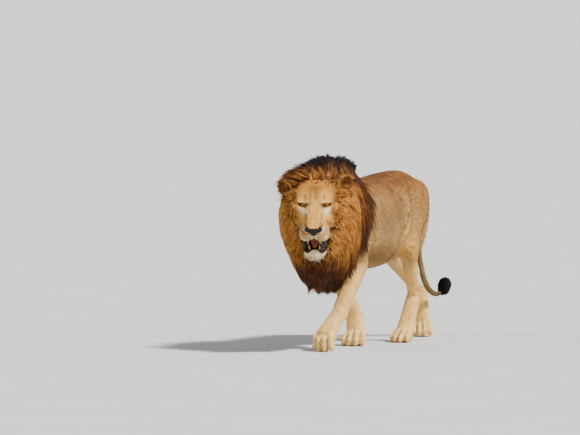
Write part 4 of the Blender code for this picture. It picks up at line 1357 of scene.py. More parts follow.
def locks(
    name, ground, roots, out, reach, rise, colour_of, flow=mane_flow,
    each=12, spread_at=0.012, width=0.0027, cling=0.3, tree=None,
    root_painted_shade=0.38, limits=LIMITS, contrast=1.0,
):
    """Locks of hair: each guide carries a bundle of strands that draws to a point."""
    guides, guides_out = grow(roots, out, reach, rise, cling, tree or ground.tree, flow)
    lock = np.repeat(np.arange(len(roots)), each)
    count = len(lock)
    fractions = LUCK.uniform(0.66, 1.0, count)
    lines = resampled(guides[lock], fractions, STRAND_STEPS)
    facing = unit(resampled(guides_out[lock], fractions, STRAND_STEPS))
    along = unit(np.gradient(lines, axis=1))
    side = unit(np.cross(along, facing))
    t = np.linspace(0, 1, STRAND_STEPS)
    bundle = (0.60 + 0.60 * np.sin(np.pi * np.minimum(1, t * 1.25))) * (1 - 0.70 * t ** 2)
    a, b = LUCK.uniform(-1, 1, (2, count))
    b = np.abs(b)
    phase = LUCK.uniform(0, 2 * math.pi, count)
    wave = 0.25 * spread_at * np.sin(phase[:, None] + t[None, :] * 5.0)
    shift = side * (spread_at * a[:, None] * bundle + wave)[:, :, None]
    shift += facing * (spread_at * 0.55 * b[:, None] * bundle)[:, :, None]
    lines = kept_in(lines + shift, limits)
    strand_width = width * LUCK.uniform(0.65, 1.35, count)
    luck = contrast * (0.75 * LUCK.normal(0, 1, len(roots))[lock] + 0.70 * LUCK.normal(0, 1, count))
    base = strand_colours(colour_of(roots)[lock], luck)
    # Painted shade: each strand is darker at its root, where the hair lies in shade, and brightens to a
    # little over its own colour towards the tip.
    painted_root_shade = root_painted_shade + (1.06 - root_painted_shade) * smoothstep(0.0, 0.5, t)
    colours = base[:, None] * painted_root_shade[None, :, None]
    uv = ground.unwrapped(lines[:, 0])
    return strands(name, lines, facing, strand_width, colours, uv)


def mane_colour(points):
    """Gold by the face, rust and brown further back, black-brown on the crest, chest and rear edge."""
    x, y, z = in_ruff(points).T
    luck = LUCK.normal(0, 0.16, len(points))
    dark = 0.66 * smoothstep(0.15, 0.34, y + 0.12 * luck)
    brow = 0.42 * smoothstep(0.04, 0.12, z + 0.02 * luck) * smoothstep(0.17, 0.10, np.abs(x))
    dark = np.maximum(dark, brow)
    dark = np.maximum(dark, smoothstep(0.118, 0.200, z + 0.06 * luck + 0.10 * np.minimum(y - 0.1, 0.3)))
    chest = smoothstep(-0.17, -0.37, z + 0.05 * luck) * (0.66 + 0.12 * smoothstep(-0.02, 0.12, x))
    dark = np.maximum(dark, chest)
    throat = smoothstep(-0.20, -0.26, z) * smoothstep(0.10, 0.03, np.abs(x)) * smoothstep(0.14, 0.06, y)
    dark = np.maximum(dark, 0.55 * throat)
    colour = mixed(np.tile(MANE_GOLD, (len(points), 1)), MANE_STRAW, 0.35 * (1 - 2 * dark) + 0.8 * luck)
    colour = mixed(colour, MANE_RUST, 1.7 * dark + 0.4 * luck)
    colour = mixed(colour, MANE_BROWN, 2.2 * (dark - 0.42) + 0.6 * luck)
    return mixed(colour, MANE_BLACK, 2.4 * (dark - 0.66) + 0.6 * luck)


NEAR_SOLID = 0.025  # how deep inside a solid a place may lie and still be told from one outside it


def gap_outside(tree, points):
    """Distance from a closed surface, less than nought just inside it."""
    at, facing = nearest(tree, points)
    away = points - at
    gap = np.linalg.norm(away, axis=1)
    inside = ((away * facing).sum(1) < 0) & (gap < NEAR_SOLID)
    return np.where(inside, -gap, gap)


def joined_tree(grounds):
    """One search tree over several surfaces."""
    points, triangles, base = [], [], 0
    for ground in grounds:
        points += ground.points.tolist()
        triangles += (ground.triangles + base).tolist()
        base += len(ground.points)
    return BVHTree.FromPolygons(points, triangles)


def hairline(tree, solids):
    """Hair from the edge of the face into the mane, and the beard on the chin."""
    ground = skin_ground
    head = in_head(ground.middles)
    x, y, z = head.T
    gap = gap_outside(solids, ground.middles)
    node = np.array(BODY.names)[BODY.near(ground.middles)[0]]
    flesh = np.isin(node, ["head", "jaw", "neck"])
    face_edge = flesh & (y > np.where(z < -0.15, -0.02, 0.03)) & (gap > -0.028)
    face_edge &= (lips(head) < 0.3) & (lower_lip(head) < 0.3)
    chin = (node == "jaw") & (z < -0.243) & (ground.face_normals[:, 2] < 0.2)
    weights = face_edge * bump_at(np.maximum(gap, 0), 0.034) + chin * 0.9
    weights += flesh * (y > 0) * bump_at(np.hypot(np.abs(x) - 0.105, z + 0.115), 0.030)
    weights += 0.45 * (flesh & (y > -0.03) & (np.abs(x) > 0.098) & (z > -0.12) & (z < 0.08))
    weights += 0.8 * (flesh & (y > 0.06) & (ear_distance(head) < 0.085))
    for side in SIDES:
        _, up, _ = ear_plot(head, side)
        weights += 1.2 * (np.char.startswith(node, "ear") & (side * x > 0) & (up < 0.22))
    roots, out = ground.roots(HAIRLINE_LOCKS, weights)
    head = in_head(roots)
    close = bump_at(np.maximum(gap_outside(solids, roots), 0), 0.022)
    on_chin = smoothstep(-0.236, -0.246, head[:, 2]) * smoothstep(0.02, -0.02, head[:, 1])
    rim = smoothstep(0.092, 0.104, np.abs(head[:, 0])) * smoothstep(0.09, 0.03, head[:, 1])
    reach = (0.030 + 0.085 * close + 0.012 * rim) * (1 - on_chin) + 0.036 * on_chin
    reach = reach * LUCK.uniform(0.7, 1.25, len(roots))
    rise = (0.004 + 0.014 * close + 0.006 * rim * (1 - close)) * LUCK.uniform(0.5, 1.2, len(roots))

    def colour_of(points):
        near = bump_at(np.maximum(gap_outside(solids, points), 0), 0.032)
        return mixed(face_colour(in_head(points)) * 0.95, mane_colour(points), near)

    return locks(
        "mane_hairline", ground, roots, out, reach, rise, colour_of,
        each=10, spread_at=0.008, width=0.0021, tree=tree, root_painted_shade=0.62, limits=MANE_LIMITS, contrast=0.7,
    )


HAIRLINE_LOCKS = 1300
MANE_LOCKS = 2900
LOOSE_LOCKS = 240
SWEPT_LOCKS = 150


def loose_flow(points):
    """The wind takes the outermost hair of the crest."""
    return unit(mane_flow(points) + 0.9 * WIND)


def swept_flow(points):
    """Hair blown from the crown across the right ear, drooping past it."""
    x = in_ruff(points)[:, 0]
    up = 0.30 - 6.0 * np.maximum(-x - 0.09, 0)
    return unit(turned_out_of_ruff(np.stack([-np.ones(len(x)), np.full(len(x), 0.10), up], 1)))


def mane_pieces():
    core = core_surface("mane_core_painted_shade", MANE_BASE, CORE_GRAIN, MANE_DEPTH, 14)
    at = places(core)
    under, facing = nearest(skin_ground.tree, at)
    sunk = smoothstep(0.072, 0.052, ear_distance(in_head(at)))[:, None]
    move_to(core, at + sunk * (under - 0.003 * facing - at))
    ground = Ground(core, 5000)
    who = Parts([*FLESH, *MANE_NODES])
    node, _ = who.near(ground.middles)
    is_mane = np.char.startswith(np.array(who.names)[node], "mane")
    under, facing = nearest(skin_ground.tree, ground.middles)
    inside_skin = ((ground.middles - under) * facing).sum(1) < 0.003
    solids = MANE_TREE
    is_mane |= np.abs(gap_outside(solids, ground.middles)) < 0.050
    ruff = in_ruff(ground.middles)
    weights = (is_mane & ~inside_skin) * (1 + 1.3 * smoothstep(0.24, 0.10, ruff[:, 1]))
    # Painted shade: the core takes the mane's colour, darkened as the shade deep between the locks and less
    # darkened towards the face.
    near_face = smoothstep(0.20, 0.12, in_head(places(core))[:, 1])
    paint(core, mane_colour(places(core)) * (0.22 + 0.33 * near_face)[:, None])
    roots, out = ground.roots(MANE_LOCKS, weights)
    ruff = in_ruff(roots)
    reach = 0.060 + 0.070 * smoothstep(0.09, 0.16, ruff[:, 1]) + 0.060 * smoothstep(0.14, 0.28, ruff[:, 1])
    reach *= LUCK.uniform(0.7, 1.2, len(roots))
    high = smoothstep(0.12, 0.20, ruff[:, 2])
    rise = MANE_DEPTH * LUCK.uniform(0.35, 1.0 + 0.9 * high)
    groups = {
        "crest": ruff[:, 2] > 0.12,
        "chest": ruff[:, 2] < -0.25,
        "left": roots[:, 0] > MIDLINE,
        "right": roots[:, 0] <= MIDLINE,
    }
    taken = np.zeros(len(roots), bool)
    pieces = []
    for name, chosen in groups.items():
        pick = chosen & ~taken
        taken |= pick
        grown_here = (roots[pick], out[pick], reach[pick], rise[pick])
        pieces.append(locks("mane_locks_" + name, ground, *grown_here, mane_colour, limits=MANE_LIMITS))
    tree = joined_tree((ground, skin_ground))
    pieces.append(hairline(tree, solids))
    ruff = in_ruff(ground.middles)
    loose = weights * (smoothstep(0.13, 0.19, ruff[:, 2]) + 0.12 * smoothstep(0.25, 0.35, ruff[:, 1]))
    roots, out = ground.roots(LOOSE_LOCKS, loose)
    reach = LUCK.uniform(0.07, 0.13, len(roots))
    rise = LUCK.uniform(0.020, 0.040, len(roots))
    pieces.append(
        locks(
            "mane_loose_hair", ground, roots, out, reach, rise, mane_colour, loose_flow,
            each=6, spread_at=0.012, width=0.0020, cling=0.0, limits=MANE_LIMITS,
        )
    )
    x, y, z = ruff.T
    crown = weights * (x < -0.02) * (x > -0.17) * bump_at(z - 0.125, 0.045) * smoothstep(0.24, 0.14, y)
    roots, out = ground.roots(SWEPT_LOCKS, crown)
    reach = LUCK.uniform(0.09, 0.15, len(roots))
    rise = LUCK.uniform(0.012, 0.030, len(roots))
    pieces.append(
        locks(
            "mane_swept_hair", ground, roots, out, reach, rise, mane_colour, swept_flow,
            cling=0.1, limits=MANE_LIMITS,
        )
    )
    return core, pieces


# ---------------------------------------------------------------- short coat
def short_coat():
    """Tufts of the short coat on the trunk, legs and head."""
    ground = skin_ground
    points = ground.middles
    who = Parts([*FLESH, *MANE_NODES])
    node, _ = who.near(points + ground.face_normals * 0.012)
    words = np.array(who.names)[node]
    under_mane = np.char.startswith(words, "mane")
    head = in_head(points)
    on_head = spread_mask(head) > 0.5
    low = points[:, 2] < 0.42
    bare = (under_leather(head) > 0.2) | (lips(head) > 0.3) | (lower_lip(head) > 0.6)
    bare |= (eye_rim(head) > 0.2) | (mouth_level(head) < 1.06)
    growing = ~under_mane & (points[:, 2] > 0.008)
    tail = np.char.startswith(words, "tail")
    on_head |= np.char.startswith(words, "ear")
    trunk = growing & ~on_head & ~low & ~tail
    left = points[:, 0] > MIDLINE
    pieces = []
    for name, chosen, count, length, width, lift, uneven in (
        ("coat_trunk_left", trunk & left, 19000, 0.017, 0.0017, 0.0008, 0.06),
        ("coat_trunk_right", trunk & ~left, 18000, 0.017, 0.0017, 0.0008, 0.06),
        ("coat_legs", growing & ~on_head & (low | tail), 24000, 0.011, 0.0017, 0.0009, 0.08),
        ("coat_face", growing & on_head & ~bare, 27000, 0.0072, 0.0011, 0.0006, 0.08),
    ):
        roots, out = ground.roots(count, chosen * 1.0)
        along = unit(lie(roots) + 0.18 * LUCK.normal(0, 1, roots.shape))
        scale = LUCK.uniform(0.6, 1.45, len(roots))
        if name == "coat_face":
            _, back, up = in_head(roots).T
            scale *= 0.60 + 0.9 * smoothstep(0.0, 0.08, back) + 0.8 * smoothstep(-0.232, -0.245, up)
        if name == "coat_legs":
            scale *= 0.55 + 0.45 * smoothstep(0.05, 0.25, roots[:, 2])
        colour = coat_colour(roots) * np.exp(LUCK.normal(0, uneven, len(roots)))[:, None]
        colour = mixed(colour, GREY_BROWN * 0.8, 0.4 * (LUCK.random(len(roots)) < uneven))
        raised = lift * scale * LUCK.uniform(0.5, 1.7, len(roots))
        sizes = (length * scale, width * np.sqrt(scale), raised)
        uv = ground.unwrapped(roots)
        pieces.append(tufts(name, roots, out, along, *sizes, colour, uv))
    pieces.append(ear_hair())
    pieces.append(fringes())
    return pieces


def ear_flow(points):
    """Up and outwards over the cup of the ear."""
    head = in_head(points)
    flow = np.zeros_like(points)
    for side in SIDES:
        _, lean = EARS[side]
        turn = Euler((math.radians(-8), math.radians(side * lean), math.radians(side * 26))).to_matrix()
        across, up, _ = ear_plot(head, side)
        local = np.stack([side * (0.35 + 0.8 * across), np.full(len(head), -0.30), 0.35 + 0.6 * up], 1)
        mine = (side * head[:, 0] > 0)[:, None]
        flow = np.where(mine, turned_out_of_head(local @ np.array(turn).T), flow)
    return unit(flow)


def ear_hair():
    """Longer hair inside the ears and round their rims."""
    ground = skin_ground
    node = np.array(BODY.names)[BODY.near(ground.middles)[0]]
    weights = np.char.startswith(node, "ear") * 1.0
    roots, out = ground.roots(400, weights)
    reach = LUCK.uniform(0.012, 0.022, len(roots))
    rise = LUCK.uniform(0.001, 0.003, len(roots))
    return locks(
        "coat_ears", ground, roots, out, reach, rise, lambda p: ear_colour(in_head(p)), ear_flow,
        each=8, spread_at=0.004, width=0.0012, root_painted_shade=0.8, contrast=0.6,
    )


def fringe_flow(points):
    return unit(0.8 * lie(points) + 0.5 * DOWN)


def fringes():
    """Longer hair along the belly, elbows, the backs of the thighs and shanks, and in front of the stifles.
    """
    ground = skin_ground
    points = ground.middles - WITHERS
    x, y, z = points.T
    out = ground.face_normals
    belly = (np.abs(x) < 0.07) & (y > 0.12) & (y < 0.78) & (out[:, 2] < -0.5) & (z > 0.38)
    weights = belly * 0.25
    for side in SIDES:
        _, elbow, _ = FORE_JOINTS[side]
        hip, knee, hock = HIND_JOINTS[side]
        plane = np.stack([y, z], 1)
        rear = smoothstep(0.2, 0.7, out[:, 1]) * (side * x > 0.02)
        for path, width in (
            ((shifted(elbow, 0.06, 0.06), shifted(elbow, 0.04, -0.06)), 0.040),
            ((shifted(hip, 0.13, -0.08), shifted(knee, 0.12, 0.06)), 0.050),
            ((shifted(knee, 0.09, -0.02), shifted(hock, 0.04, 0.08)), 0.030),
        ):
            weights = weights + rear * near_path(plane, path, width)
        front = smoothstep(-0.1, -0.6, out[:, 1]) * (side * x > 0.02)
        stifle = distance_to_path(plane, (shifted(knee, -0.08, 0.10), shifted(knee, -0.05, 0.0)))
        weights = weights + front * bump_at(stifle, 0.035)
    roots, out = ground.roots(330, weights)
    reach = LUCK.uniform(0.016, 0.034, len(roots))
    reach *= 1 - 0.55 * smoothstep(-0.3, -0.8, out[:, 2])
    rise = LUCK.uniform(0.002, 0.005, len(roots))
    return locks(
        "coat_fringes", ground, roots, out, reach, rise, coat_colour, fringe_flow,
        each=8, spread_at=0.007, width=0.0014, root_painted_shade=0.9, contrast=0.3,
    )


# ---------------------------------------------------------------- eyes
IRIS_RADIUS = 0.0118
PUPIL_RADIUS = 0.0034
CAMERA_AZIMUTH = math.radians(25)
CAMERA_RISE = math.radians(2.28)


def towards_camera():
    level = math.cos(CAMERA_RISE)
    return Vector((
        math.sin(CAMERA_AZIMUTH) * level,
        -math.cos(CAMERA_AZIMUTH) * level,
        math.sin(CAMERA_RISE),
    ))


def shade_smooth(piece):
    activate(piece)
    bpy.ops.object.shade_smooth()


def settle(piece):
    """Puts the object's placement into its mesh."""
    activate(piece)
    bpy.ops.object.transform_apply(location=True, rotation=True, scale=True)


def select_where(piece, test, mode="VERT"):
    """In edit mode, selects the vertices whose place passes the test."""
    bpy.ops.object.mode_set(mode="EDIT")
    bpy.ops.mesh.select_mode(type=mode)
    bpy.ops.mesh.select_all(action="DESELECT")
    bpy.ops.object.mode_set(mode="OBJECT")
    for vertex in piece.data.vertices:
        vertex.select = test(vertex.co)
    bpy.ops.object.mode_set(mode="EDIT")


def eyeball(name, side):
    """A ball with a swollen cornea, whose pole looks along the gaze."""
    deselect()
    bpy.ops.mesh.primitive_uv_sphere_add(segments=48, ring_count=36, radius=EYE_RADIUS)
    eye = bpy.context.object
    eye.name = name
    for ring in range(3):
        reach = IRIS_RADIUS * (1.0 - 0.28 * ring)
        select_where(eye, lambda co: co.z > 0 and math.hypot(co.x, co.y) < reach)
        bpy.ops.transform.translate(value=(0, 0, 0.0004))
        bpy.ops.object.mode_set(mode="OBJECT")
    eye.rotation_mode = "QUATERNION"
    eye.rotation_quaternion = towards_camera().to_track_quat("Z", "Y")
    eye.location = EYES[side]
    settle(eye)
    shade_smooth(eye)
    return eye


def eye_material():
    """Amber iris with darker rim and fine spokes, small black pupil and a wet surface."""
    m = Nodes("amber_eye")
    where = m.add("UVMap", uv_map="UVMap")
    split = m.add("SeparateXYZ")
    m.wire(where.outputs["UV"], split.inputs[0])
    ramp = m.add("ValToRGB")
    m.wire(split.outputs["Y"], ramp.inputs["Fac"])
    pupil = 1 - math.asin(PUPIL_RADIUS / EYE_RADIUS) / math.pi
    iris = 1 - math.asin(IRIS_RADIUS / EYE_RADIUS) / math.pi
    stops = (
        (iris - 0.020, shade(30, 20, 16)),
        (iris + 0.004, shade(70, 38, 14)),
        (iris + 0.034, shade(150, 88, 20)),
        (pupil - 0.030, shade(190, 118, 26)),
        (pupil - 0.006, shade(96, 54, 18)),
        (pupil, shade(5, 4, 4)),
    )
    while len(ramp.color_ramp.elements) < len(stops):
        ramp.color_ramp.elements.new(0.5)
    for element, (place, colour) in zip(ramp.color_ramp.elements, stops):
        element.position = place
        element.color = (*colour, 1)
    stretch = m.add("Mapping")
    stretch.inputs["Scale"].default_value = (70, 9, 1)
    m.wire(where.outputs["UV"], stretch.inputs["Vector"])
    spokes = m.add("TexNoise", Scale=1.0, Detail=3.0)
    m.wire(stretch.outputs["Vector"], spokes.inputs["Vector"])
    m.wire(m.scaled(ramp.outputs["Color"], spokes.outputs["Fac"], 0.62, 1.35), m.shader.inputs["Base Color"])
    m.set(Roughness=0.16, Specular_IOR_Level=0.25, Coat_Weight=0.35, Coat_Roughness=0.02)
    return m.material


# ---------------------------------------------------------------- nose, tongue and teeth
def rounded(name, nodes, grain, rounds):
    """The outline of these solids as one even surface."""
    piece = copy_of(name, nodes)
    apply(piece, "REMESH", mode="VOXEL", voxel_size=grain, adaptivity=0.0)
    eased(piece, rounds)
    shade_smooth(piece)
    return piece


def nose_leather():
    """The nose with its comma-shaped nostrils and the groove between them."""
    nose = rounded("nose_leather", ["nose"], 0.0016, 14)
    head = in_head(places(nose))
    out = normals(nose) @ INTO_HEAD[:3, :3].T
    rise = 0.0022 * np.ones(len(head))
    for side in SIDES:
        slit = (
            (side * 0.013, -0.170, -0.076),
            (side * 0.024, -0.163, -0.068),
            (side * 0.038, -0.150, -0.068),
        )
        rise -= 0.0085 * near_path(head, slit, 0.0058)
        wing = ((side * 0.018, -0.170, -0.060), (side * 0.036, -0.158, -0.059))
        rise += 0.0016 * near_path(head, wing, 0.0060)
    front = smoothstep(-0.145, -0.155, head[:, 1])
    rise -= 0.0032 * front * bump_at(head[:, 0], 0.0022) * smoothstep(-0.056, -0.066, head[:, 2])
    rise = rise * leather_area(head) - 0.006 * (1 - leather_area(head))
    move_to(nose, out_of_head(head + out * rise[:, None]))
    return nose


def nose_material():
    m = Nodes("nose_leather")
    cells = m.add("TexVoronoi", Scale=1.0, feature="DISTANCE_TO_EDGE")
    m.wire(m.coordinates((420, 420, 420)), cells.inputs["Vector"])
    blotch = m.noise((70, 70, 70), detail=4.0)
    ramp = m.add("ValToRGB")
    ramp.color_ramp.elements[0].position = 0.50
    ramp.color_ramp.elements[0].color = (*shade(14, 11, 11), 1)
    ramp.color_ramp.elements[1].position = 0.70
    ramp.color_ramp.elements[1].color = (*shade(58, 40, 37), 1)
    m.wire(blotch, ramp.inputs["Fac"])
    pebbled = m.scaled(ramp.outputs["Color"], cells.outputs["Distance"], 0.75, 1.6)
    m.wire(pebbled, m.shader.inputs["Base Color"])
    bump = m.add("Bump", Strength=0.7, Distance=0.0008)
    m.wire(cells.outputs["Distance"], bump.inputs["Height"])
    m.wire(bump.outputs["Normal"], m.shader.inputs["Normal"])
    m.set(Roughness=0.42, Specular_IOR_Level=0.5)
    return m.material


def tongue_piece():
    """The tongue, hollowed along its middle."""
    tongue = rounded("tongue_flesh", ["tongue"], 0.0026, 10)
    head = in_head(places(tongue))
    out = normals(tongue) @ INTO_HEAD[:3, :3].T
    groove = bump_at(head[:, 0], 0.006) * smoothstep(0.3, 0.8, out[:, 2])
    head = head - out * (0.0055 * groove)[:, None]
    top = head[:, 2].max()
    head[:, 2] = top - 0.32 * (top - head[:, 2]) - 0.021
    back = head[:, 1].max()
    head[:, 1] = back - 0.88 * (back - head[:, 1])
    move_to(tongue, out_of_head(head))
    return tongue


def plain_material(name, colour, scale, low, high, bumpiness, depth, **settings):
    """One colour, broken up by a fine pattern that also gives the relief."""
    m = Nodes(name)
    grain = m.noise((scale, scale, scale), detail=5.0)
    base = m.add("RGB")
    base.outputs[0].default_value = (*colour, 1)
    m.wire(m.scaled(base.outputs[0], grain, low, high), m.shader.inputs["Base Color"])
    bump = m.add("Bump", Strength=bumpiness, Distance=depth)
    m.wire(grain, bump.inputs["Height"])
    m.wire(bump.outputs["Normal"], m.shader.inputs["Normal"])
    m.set(**settings)
    return m.material


# Teeth in the head's frame: root (side, y, z), tip (side, y, z), width, curve backwards.
LONG_TEETH = (
    ((0.031, -0.124, -0.128), (0.033, -0.131, -0.168), 0.0170, 0.0012),
    ((0.026, -0.105, -0.214), (0.029, -0.121, -0.174), 0.0128, 0.0012),
)
INCISOR_GAP = 0.0078
UPPER_INCISOR_WIDTH = 0.0085
LOWER_INCISOR_WIDTH = 0.0072
CLAW_WIDTH = 0.0050
CLAW_CURVE = 0.0015


def tooth(name, root, tip, width, curve, frame_at=HEAD, sides=9):
    """A pointed tooth or claw, round at its root and bent back, in the given frame."""
    deselect()
    root, tip = Vector(root), Vector(tip)
    length = (tip - root).length
    bpy.ops.mesh.primitive_cone_add(vertices=sides, radius1=width / 2, radius2=width * 0.06, depth=length)
    made = bpy.context.object
    made.name = name
    bpy.ops.object.mode_set(mode="EDIT")
    bpy.ops.mesh.select_all(action="SELECT")
    bpy.ops.mesh.subdivide(number_cuts=2)
    bpy.ops.object.mode_set(mode="OBJECT")
    for vertex in made.data.vertices:
        t = vertex.co.z / length + 0.5
        swell = 1 + 0.45 * math.sin(math.pi * t) * (1 - t)
        vertex.co.x *= swell
        vertex.co.y = vertex.co.y * swell + curve * (1 - (2 * t - 1) ** 2)
    made.rotation_mode = "QUATERNION"
    made.rotation_quaternion = (tip - root).to_track_quat("Z", "Y")
    made.location = (root + tip) / 2
    settle(made)
    made.data.transform(frame_at)
    apply(made, "SUBSURF", levels=1, render_levels=1)
    return made


def joined(name, made):
    activate(made[0])
    for one in made:
        one.select_set(True)
    bpy.ops.object.join()
    made[0].name = name
    shade_smooth(made[0])
    return made[0]


def claws():
    """The points of the drawn-in claws, one over each toe."""
    made = []
    for name, (_, _, width, bend) in PAWS.items():
        at = paw_frame(name)
        for place_at in (-1.5, -0.5, 0.5, 1.5):
            forward = (-0.024 if abs(place_at) < 1 else 0.0) * (1 if bend == 0 else 0.4)
            x = place_at * width * TOE_SPACING * 1.03
            root = Vector((x, forward - 0.046, 0.010))
            tip = Vector((x, forward - 0.057, 0.0 if bend == 0 else 0.014))
            made.append(tooth("claw", root, tip, CLAW_WIDTH, CLAW_CURVE, at))
    return joined("claws", made)


def teeth():
    """Four long canines and two rows of small incisors between them, as one piece."""
    made = []
    for root, tip, width, curve in LONG_TEETH:
        for side in SIDES:
            ends = [(side * a[0], a[1], a[2]) for a in (root, tip)]
            made.append(tooth("canine", ends[0], ends[1], width, -curve))
    for k in range(6):
        x = INCISOR_GAP * (k - 2.5)
        back = 0.9 * abs(x) ** 2 / 0.02
        root, tip = (x, -0.118 + back, -0.134), (x, -0.120 + back, -0.143)
        made.append(tooth("incisor", root, tip, UPPER_INCISOR_WIDTH, 0.0))
        x *= 0.85
        root, tip = (x, -0.100 + back, -0.212), (x, -0.103 + back, -0.199)
        made.append(tooth("incisor", root, tip, LOWER_INCISOR_WIDTH, 0.0))
    return joined("teeth", made)


def tooth_material():
    m = Nodes("ivory_tooth")
    stain = m.noise((60, 60, 60), detail=4.0)
    ramp = m.add("ValToRGB")
    ramp.color_ramp.elements[0].position = 0.35
    ramp.color_ramp.elements[0].color = (*shade(140, 84, 34), 1)
    ramp.color_ramp.elements[1].position = 0.62
    ramp.color_ramp.elements[1].color = (*shade(208, 154, 88), 1)
    m.wire(stain, ramp.inputs["Fac"])
    m.wire(ramp.outputs["Color"], m.shader.inputs["Base Color"])
    m.set(Roughness=0.28, Specular_IOR_Level=0.5, Coat_Weight=0.3, Coat_Roughness=0.1)
    return m.material


# ---------------------------------------------------------------- whiskers and tail tuft
WHISKER_STEPS = 7
WHISKER_LENGTHS = (0.030, 0.055)  # shortest and longest, before what is added further back in the row
WHISKER_WIDTHS = (0.0007, 0.0010)


def whiskers():
    """Pale whiskers in rows on both pads, swept back and drooping a little."""
    lines, widths = [], []
    for row in range(WHISKER_ROWS):
        for side in SIDES:
            path = np.array([(side * a, b) for a, b in whisker_row(row)])
            for k in range(4):
                t = 0.34 + 0.18 * k
                x = np.interp(t, (0, 0.5, 1), path[:, 0])
                z = np.interp(t, (0, 0.5, 1), path[:, 1])
                start = out_of_head(np.array([[x, -0.13 + 1.1 * max(0, abs(x) - 0.035), z]]))[0]
                spot, facing = nearest(skin_ground.tree, start[None])
                sweep = turned_out_of_head((side * 0.45, 0.60, -0.45)) + 0.12 * LUCK.normal(0, 1, 3)
                out = unit(0.55 * facing[0] + sweep)
                length = LUCK.uniform(*WHISKER_LENGTHS) + 0.040 * t
                u = np.linspace(0, 1, WHISKER_STEPS)[:, None]
                droop = DOWN * 0.22 * length * u ** 2 + BACK * 0.25 * length * u ** 2
                lines.append(spot[0] - facing[0] * 0.002 + out * length * u + droop)
                widths.append(LUCK.uniform(*WHISKER_WIDTHS))
    lines = np.array(lines)
    facing = np.broadcast_to(np.array((0, 0, 1.0)), lines.shape)
    colours = np.broadcast_to(shade(238, 232, 220), lines.shape)
    uv = skin_ground.unwrapped(lines[:, 0])
    return strands("whiskers", lines, facing, np.array(widths), colours, uv)


def tail_flow(points):
    """Up and round the tuft."""
    low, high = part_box("tail_tuft")
    radial = unit(points - np.array((low + high) / 2))
    return unit(0.9 * np.cross((0.0, 0.0, 1.0), radial) + 0.35 * radial + np.array((0, 0, 0.35)))


def tail_tuft():
    """The black tuft: a core, painted darker as the shade beneath the locks, with long locks over it."""
    core = core_surface("tail_tuft_shaded_core", ["tail_tuft"], 0.004, 0.009, 6)
    shade_smooth(core)
    low, high = (np.array(c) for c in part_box("tail_tuft"))
    points = places(core)
    points[:, 2] = low[2] + 0.84 * (points[:, 2] - low[2])
    move_to(core, points)
    limits = (low - 0.012, high + (0.012, 0.012, -0.014))
    ground = Ground(core, 800)
    roots, out = ground.roots(330, np.ones(len(ground.areas)))
    reach = LUCK.uniform(0.022, 0.036, len(roots))
    rise = 0.009 * LUCK.uniform(0.4, 1.2, len(roots))
    hair = locks(
        "tail_tuft_locks", ground, roots, out, reach, rise, tuft_colour, tail_flow,
        each=8, spread_at=0.007, width=0.0022, cling=0.2, limits=limits,
    )
    # Painted shade: the core is half as bright as the locks, as the shade beneath them.
    paint(core, tuft_colour(places(core)) * 0.5)
    return core, hair


def tuft_colour(points):
    return mixed(np.tile(TAIL_BLACK, (len(points), 1)), UMBER, LUCK.uniform(0, 0.12, len(points)))


# ---------------------------------------------------------------- stage
BELOW_WITHERS = HEAD.translation - EYES_OVER_ORIGIN  # the floor under the middle of the stance
CAMERA_FAR = 36.0
CAMERA_ASIDE = -0.216
CAMERA_HIGH = 2.155
CAMERA_LENS = 410.6
FLOOR_RADIUS = 500.0
FLOOR_COLOUR = (0.62, 0.61, 0.59)
KEY_STRENGTH = 4.6
KEY_SPREAD = 7  # degrees across, for slightly soft shadows
FILL_STRENGTH = 0.55
FILL_SPREAD = 60
SKY_COLOUR = (0.86, 0.90, 0.96, 1)
SKY_STRENGTH = 0.46


def stage():
    """Pale floor, a broad key light from the right, a soft fill and a pale sky of light."""
    deselect()
    bpy.ops.mesh.primitive_circle_add(vertices=96, radius=FLOOR_RADIUS, fill_type="TRIFAN")
    floor = bpy.context.object
    floor.name = "floor"
    wear(floor, plain_material("floor", FLOOR_COLOUR, 1.5, 0.97, 1.03, 0.05, 0.001, Roughness=0.9))
    right = Vector((math.cos(CAMERA_AZIMUTH), math.sin(CAMERA_AZIMUTH), 0))
    near = towards_camera()
    for name, way, strength, angle in (
        ("key", right * 0.80 + near * 0.55 + Vector((0, 0, 1.05)), KEY_STRENGTH, KEY_SPREAD),
        ("fill", right * -0.9 + near * 0.7 + Vector((0, 0, 0.5)), FILL_STRENGTH, FILL_SPREAD),
    ):
        light = bpy.data.objects.new(name, bpy.data.lights.new(name, "SUN"))
        light.data.energy = strength
        light.data.angle = math.radians(angle)
        light.rotation_mode = "QUATERNION"
        light.rotation_quaternion = way.to_track_quat("Z", "Y")
        light.location = way * 5
        bpy.context.scene.collection.objects.link(light)
    world = bpy.data.worlds.new("studio")
    world.use_nodes = True
    sky = world.node_tree.nodes["Background"]
    sky.inputs["Color"].default_value = SKY_COLOUR
    sky.inputs["Strength"].default_value = SKY_STRENGTH
    bpy.context.scene.world = world
    bpy.context.scene.view_settings.look = "AgX - Medium High Contrast"


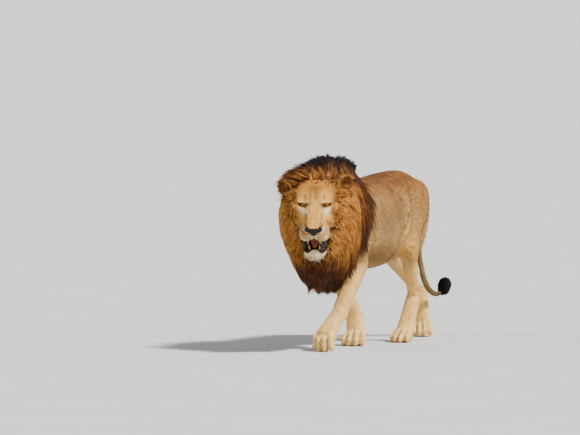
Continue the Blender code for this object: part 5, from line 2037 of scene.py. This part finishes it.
def camera():
    """At the animal's front left, far off and a little above its back."""
    eye = bpy.data.objects.new("camera", bpy.data.cameras.new("camera"))
    bpy.context.scene.collection.objects.link(eye)
    toward = Vector((math.sin(CAMERA_AZIMUTH), -math.cos(CAMERA_AZIMUTH), 0))
    right = Vector((math.cos(CAMERA_AZIMUTH), math.sin(CAMERA_AZIMUTH), 0))
    eye.location = BELOW_WITHERS + toward * CAMERA_FAR + right * CAMERA_ASIDE + Vector((0, 0, CAMERA_HIGH))
    eye.rotation_euler = (math.radians(90) - CAMERA_RISE, 0, CAMERA_AZIMUTH)
    eye.data.lens = CAMERA_LENS
    eye.data.clip_end = 2000
    bpy.context.scene.camera = eye


# ---------------------------------------------------------------- assembly
def place(piece, material, slot, *nodes):
    """Dresses a finished piece, ties it to the body and hides the solids that it stands for."""
    wear(piece, material)
    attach(piece, "root")
    if nodes:
        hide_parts(*nodes)


skin = raw_skin()
sculpt_body(skin)
sculpt_face(skin)
shade_smooth(skin)
face = in_head(places(skin))
# Painted shade: skin under the mane is painted dark mane brown, as the shade deep in the mane.
beneath = smoothstep(0.003, -0.006, gap_outside(MANE_TREE, places(skin)))
skin_colours = mixed(coat_colour(places(skin)), 0.6 * MANE_BROWN, beneath)
hairless = np.maximum.reduce([lips(face), lower_lip(face), eye_rim(face)])
paint(skin, skin_colours, hairless)
skin_ground = Ground(skin)
place(skin, skin_material(), "coat", *FLESH)
short_look = hair_material("short_hair", 0.70, 0.88, 1.12)
long_look = hair_material("long_hair", 0.55, 0.80, 1.20)
for piece in short_coat():
    place(piece, short_look, "coat", *FLESH)
shaded_mane_core, mane = mane_pieces()
shade_smooth(shaded_mane_core)
place(shaded_mane_core, long_look, "mane", *MANE_NODES)
for piece in mane:
    place(piece, long_look, "mane", *MANE_NODES)
eye_look = eye_material()
for name, side in (("left", 1), ("right", -1)):
    place(eyeball("eyeball_" + name, side), eye_look, "eye", "eye_" + name)
place(nose_leather(), nose_material(), "nose", "nose")
tongue_look = plain_material(
    "wet_tongue", shade(214, 142, 126), 260, 0.8, 1.15, 0.5, 0.001,
    Roughness=0.35, Specular_IOR_Level=0.5,
)
place(tongue_piece(), tongue_look, "mouth", "tongue")
place(teeth(), tooth_material(), "mouth", "head", "jaw")
claw_look = plain_material("claw_horn", shade(70, 56, 44), 160, 0.7, 1.2, 0.2, 0.0004, Roughness=0.35)
place(claws(), claw_look, "dark", *PAWS)
whisker_look = plain_material("whisker", shade(236, 230, 216), 90, 0.9, 1.05, 0.1, 0.0002, Roughness=0.4)
place(whiskers(), whisker_look, "pale", "head")
shaded_tuft_core, tuft_hair = tail_tuft()
place(shaded_tuft_core, long_look, "dark", "tail_tuft")
place(tuft_hair, long_look, "dark", "tail_tuft")
stage()
camera()
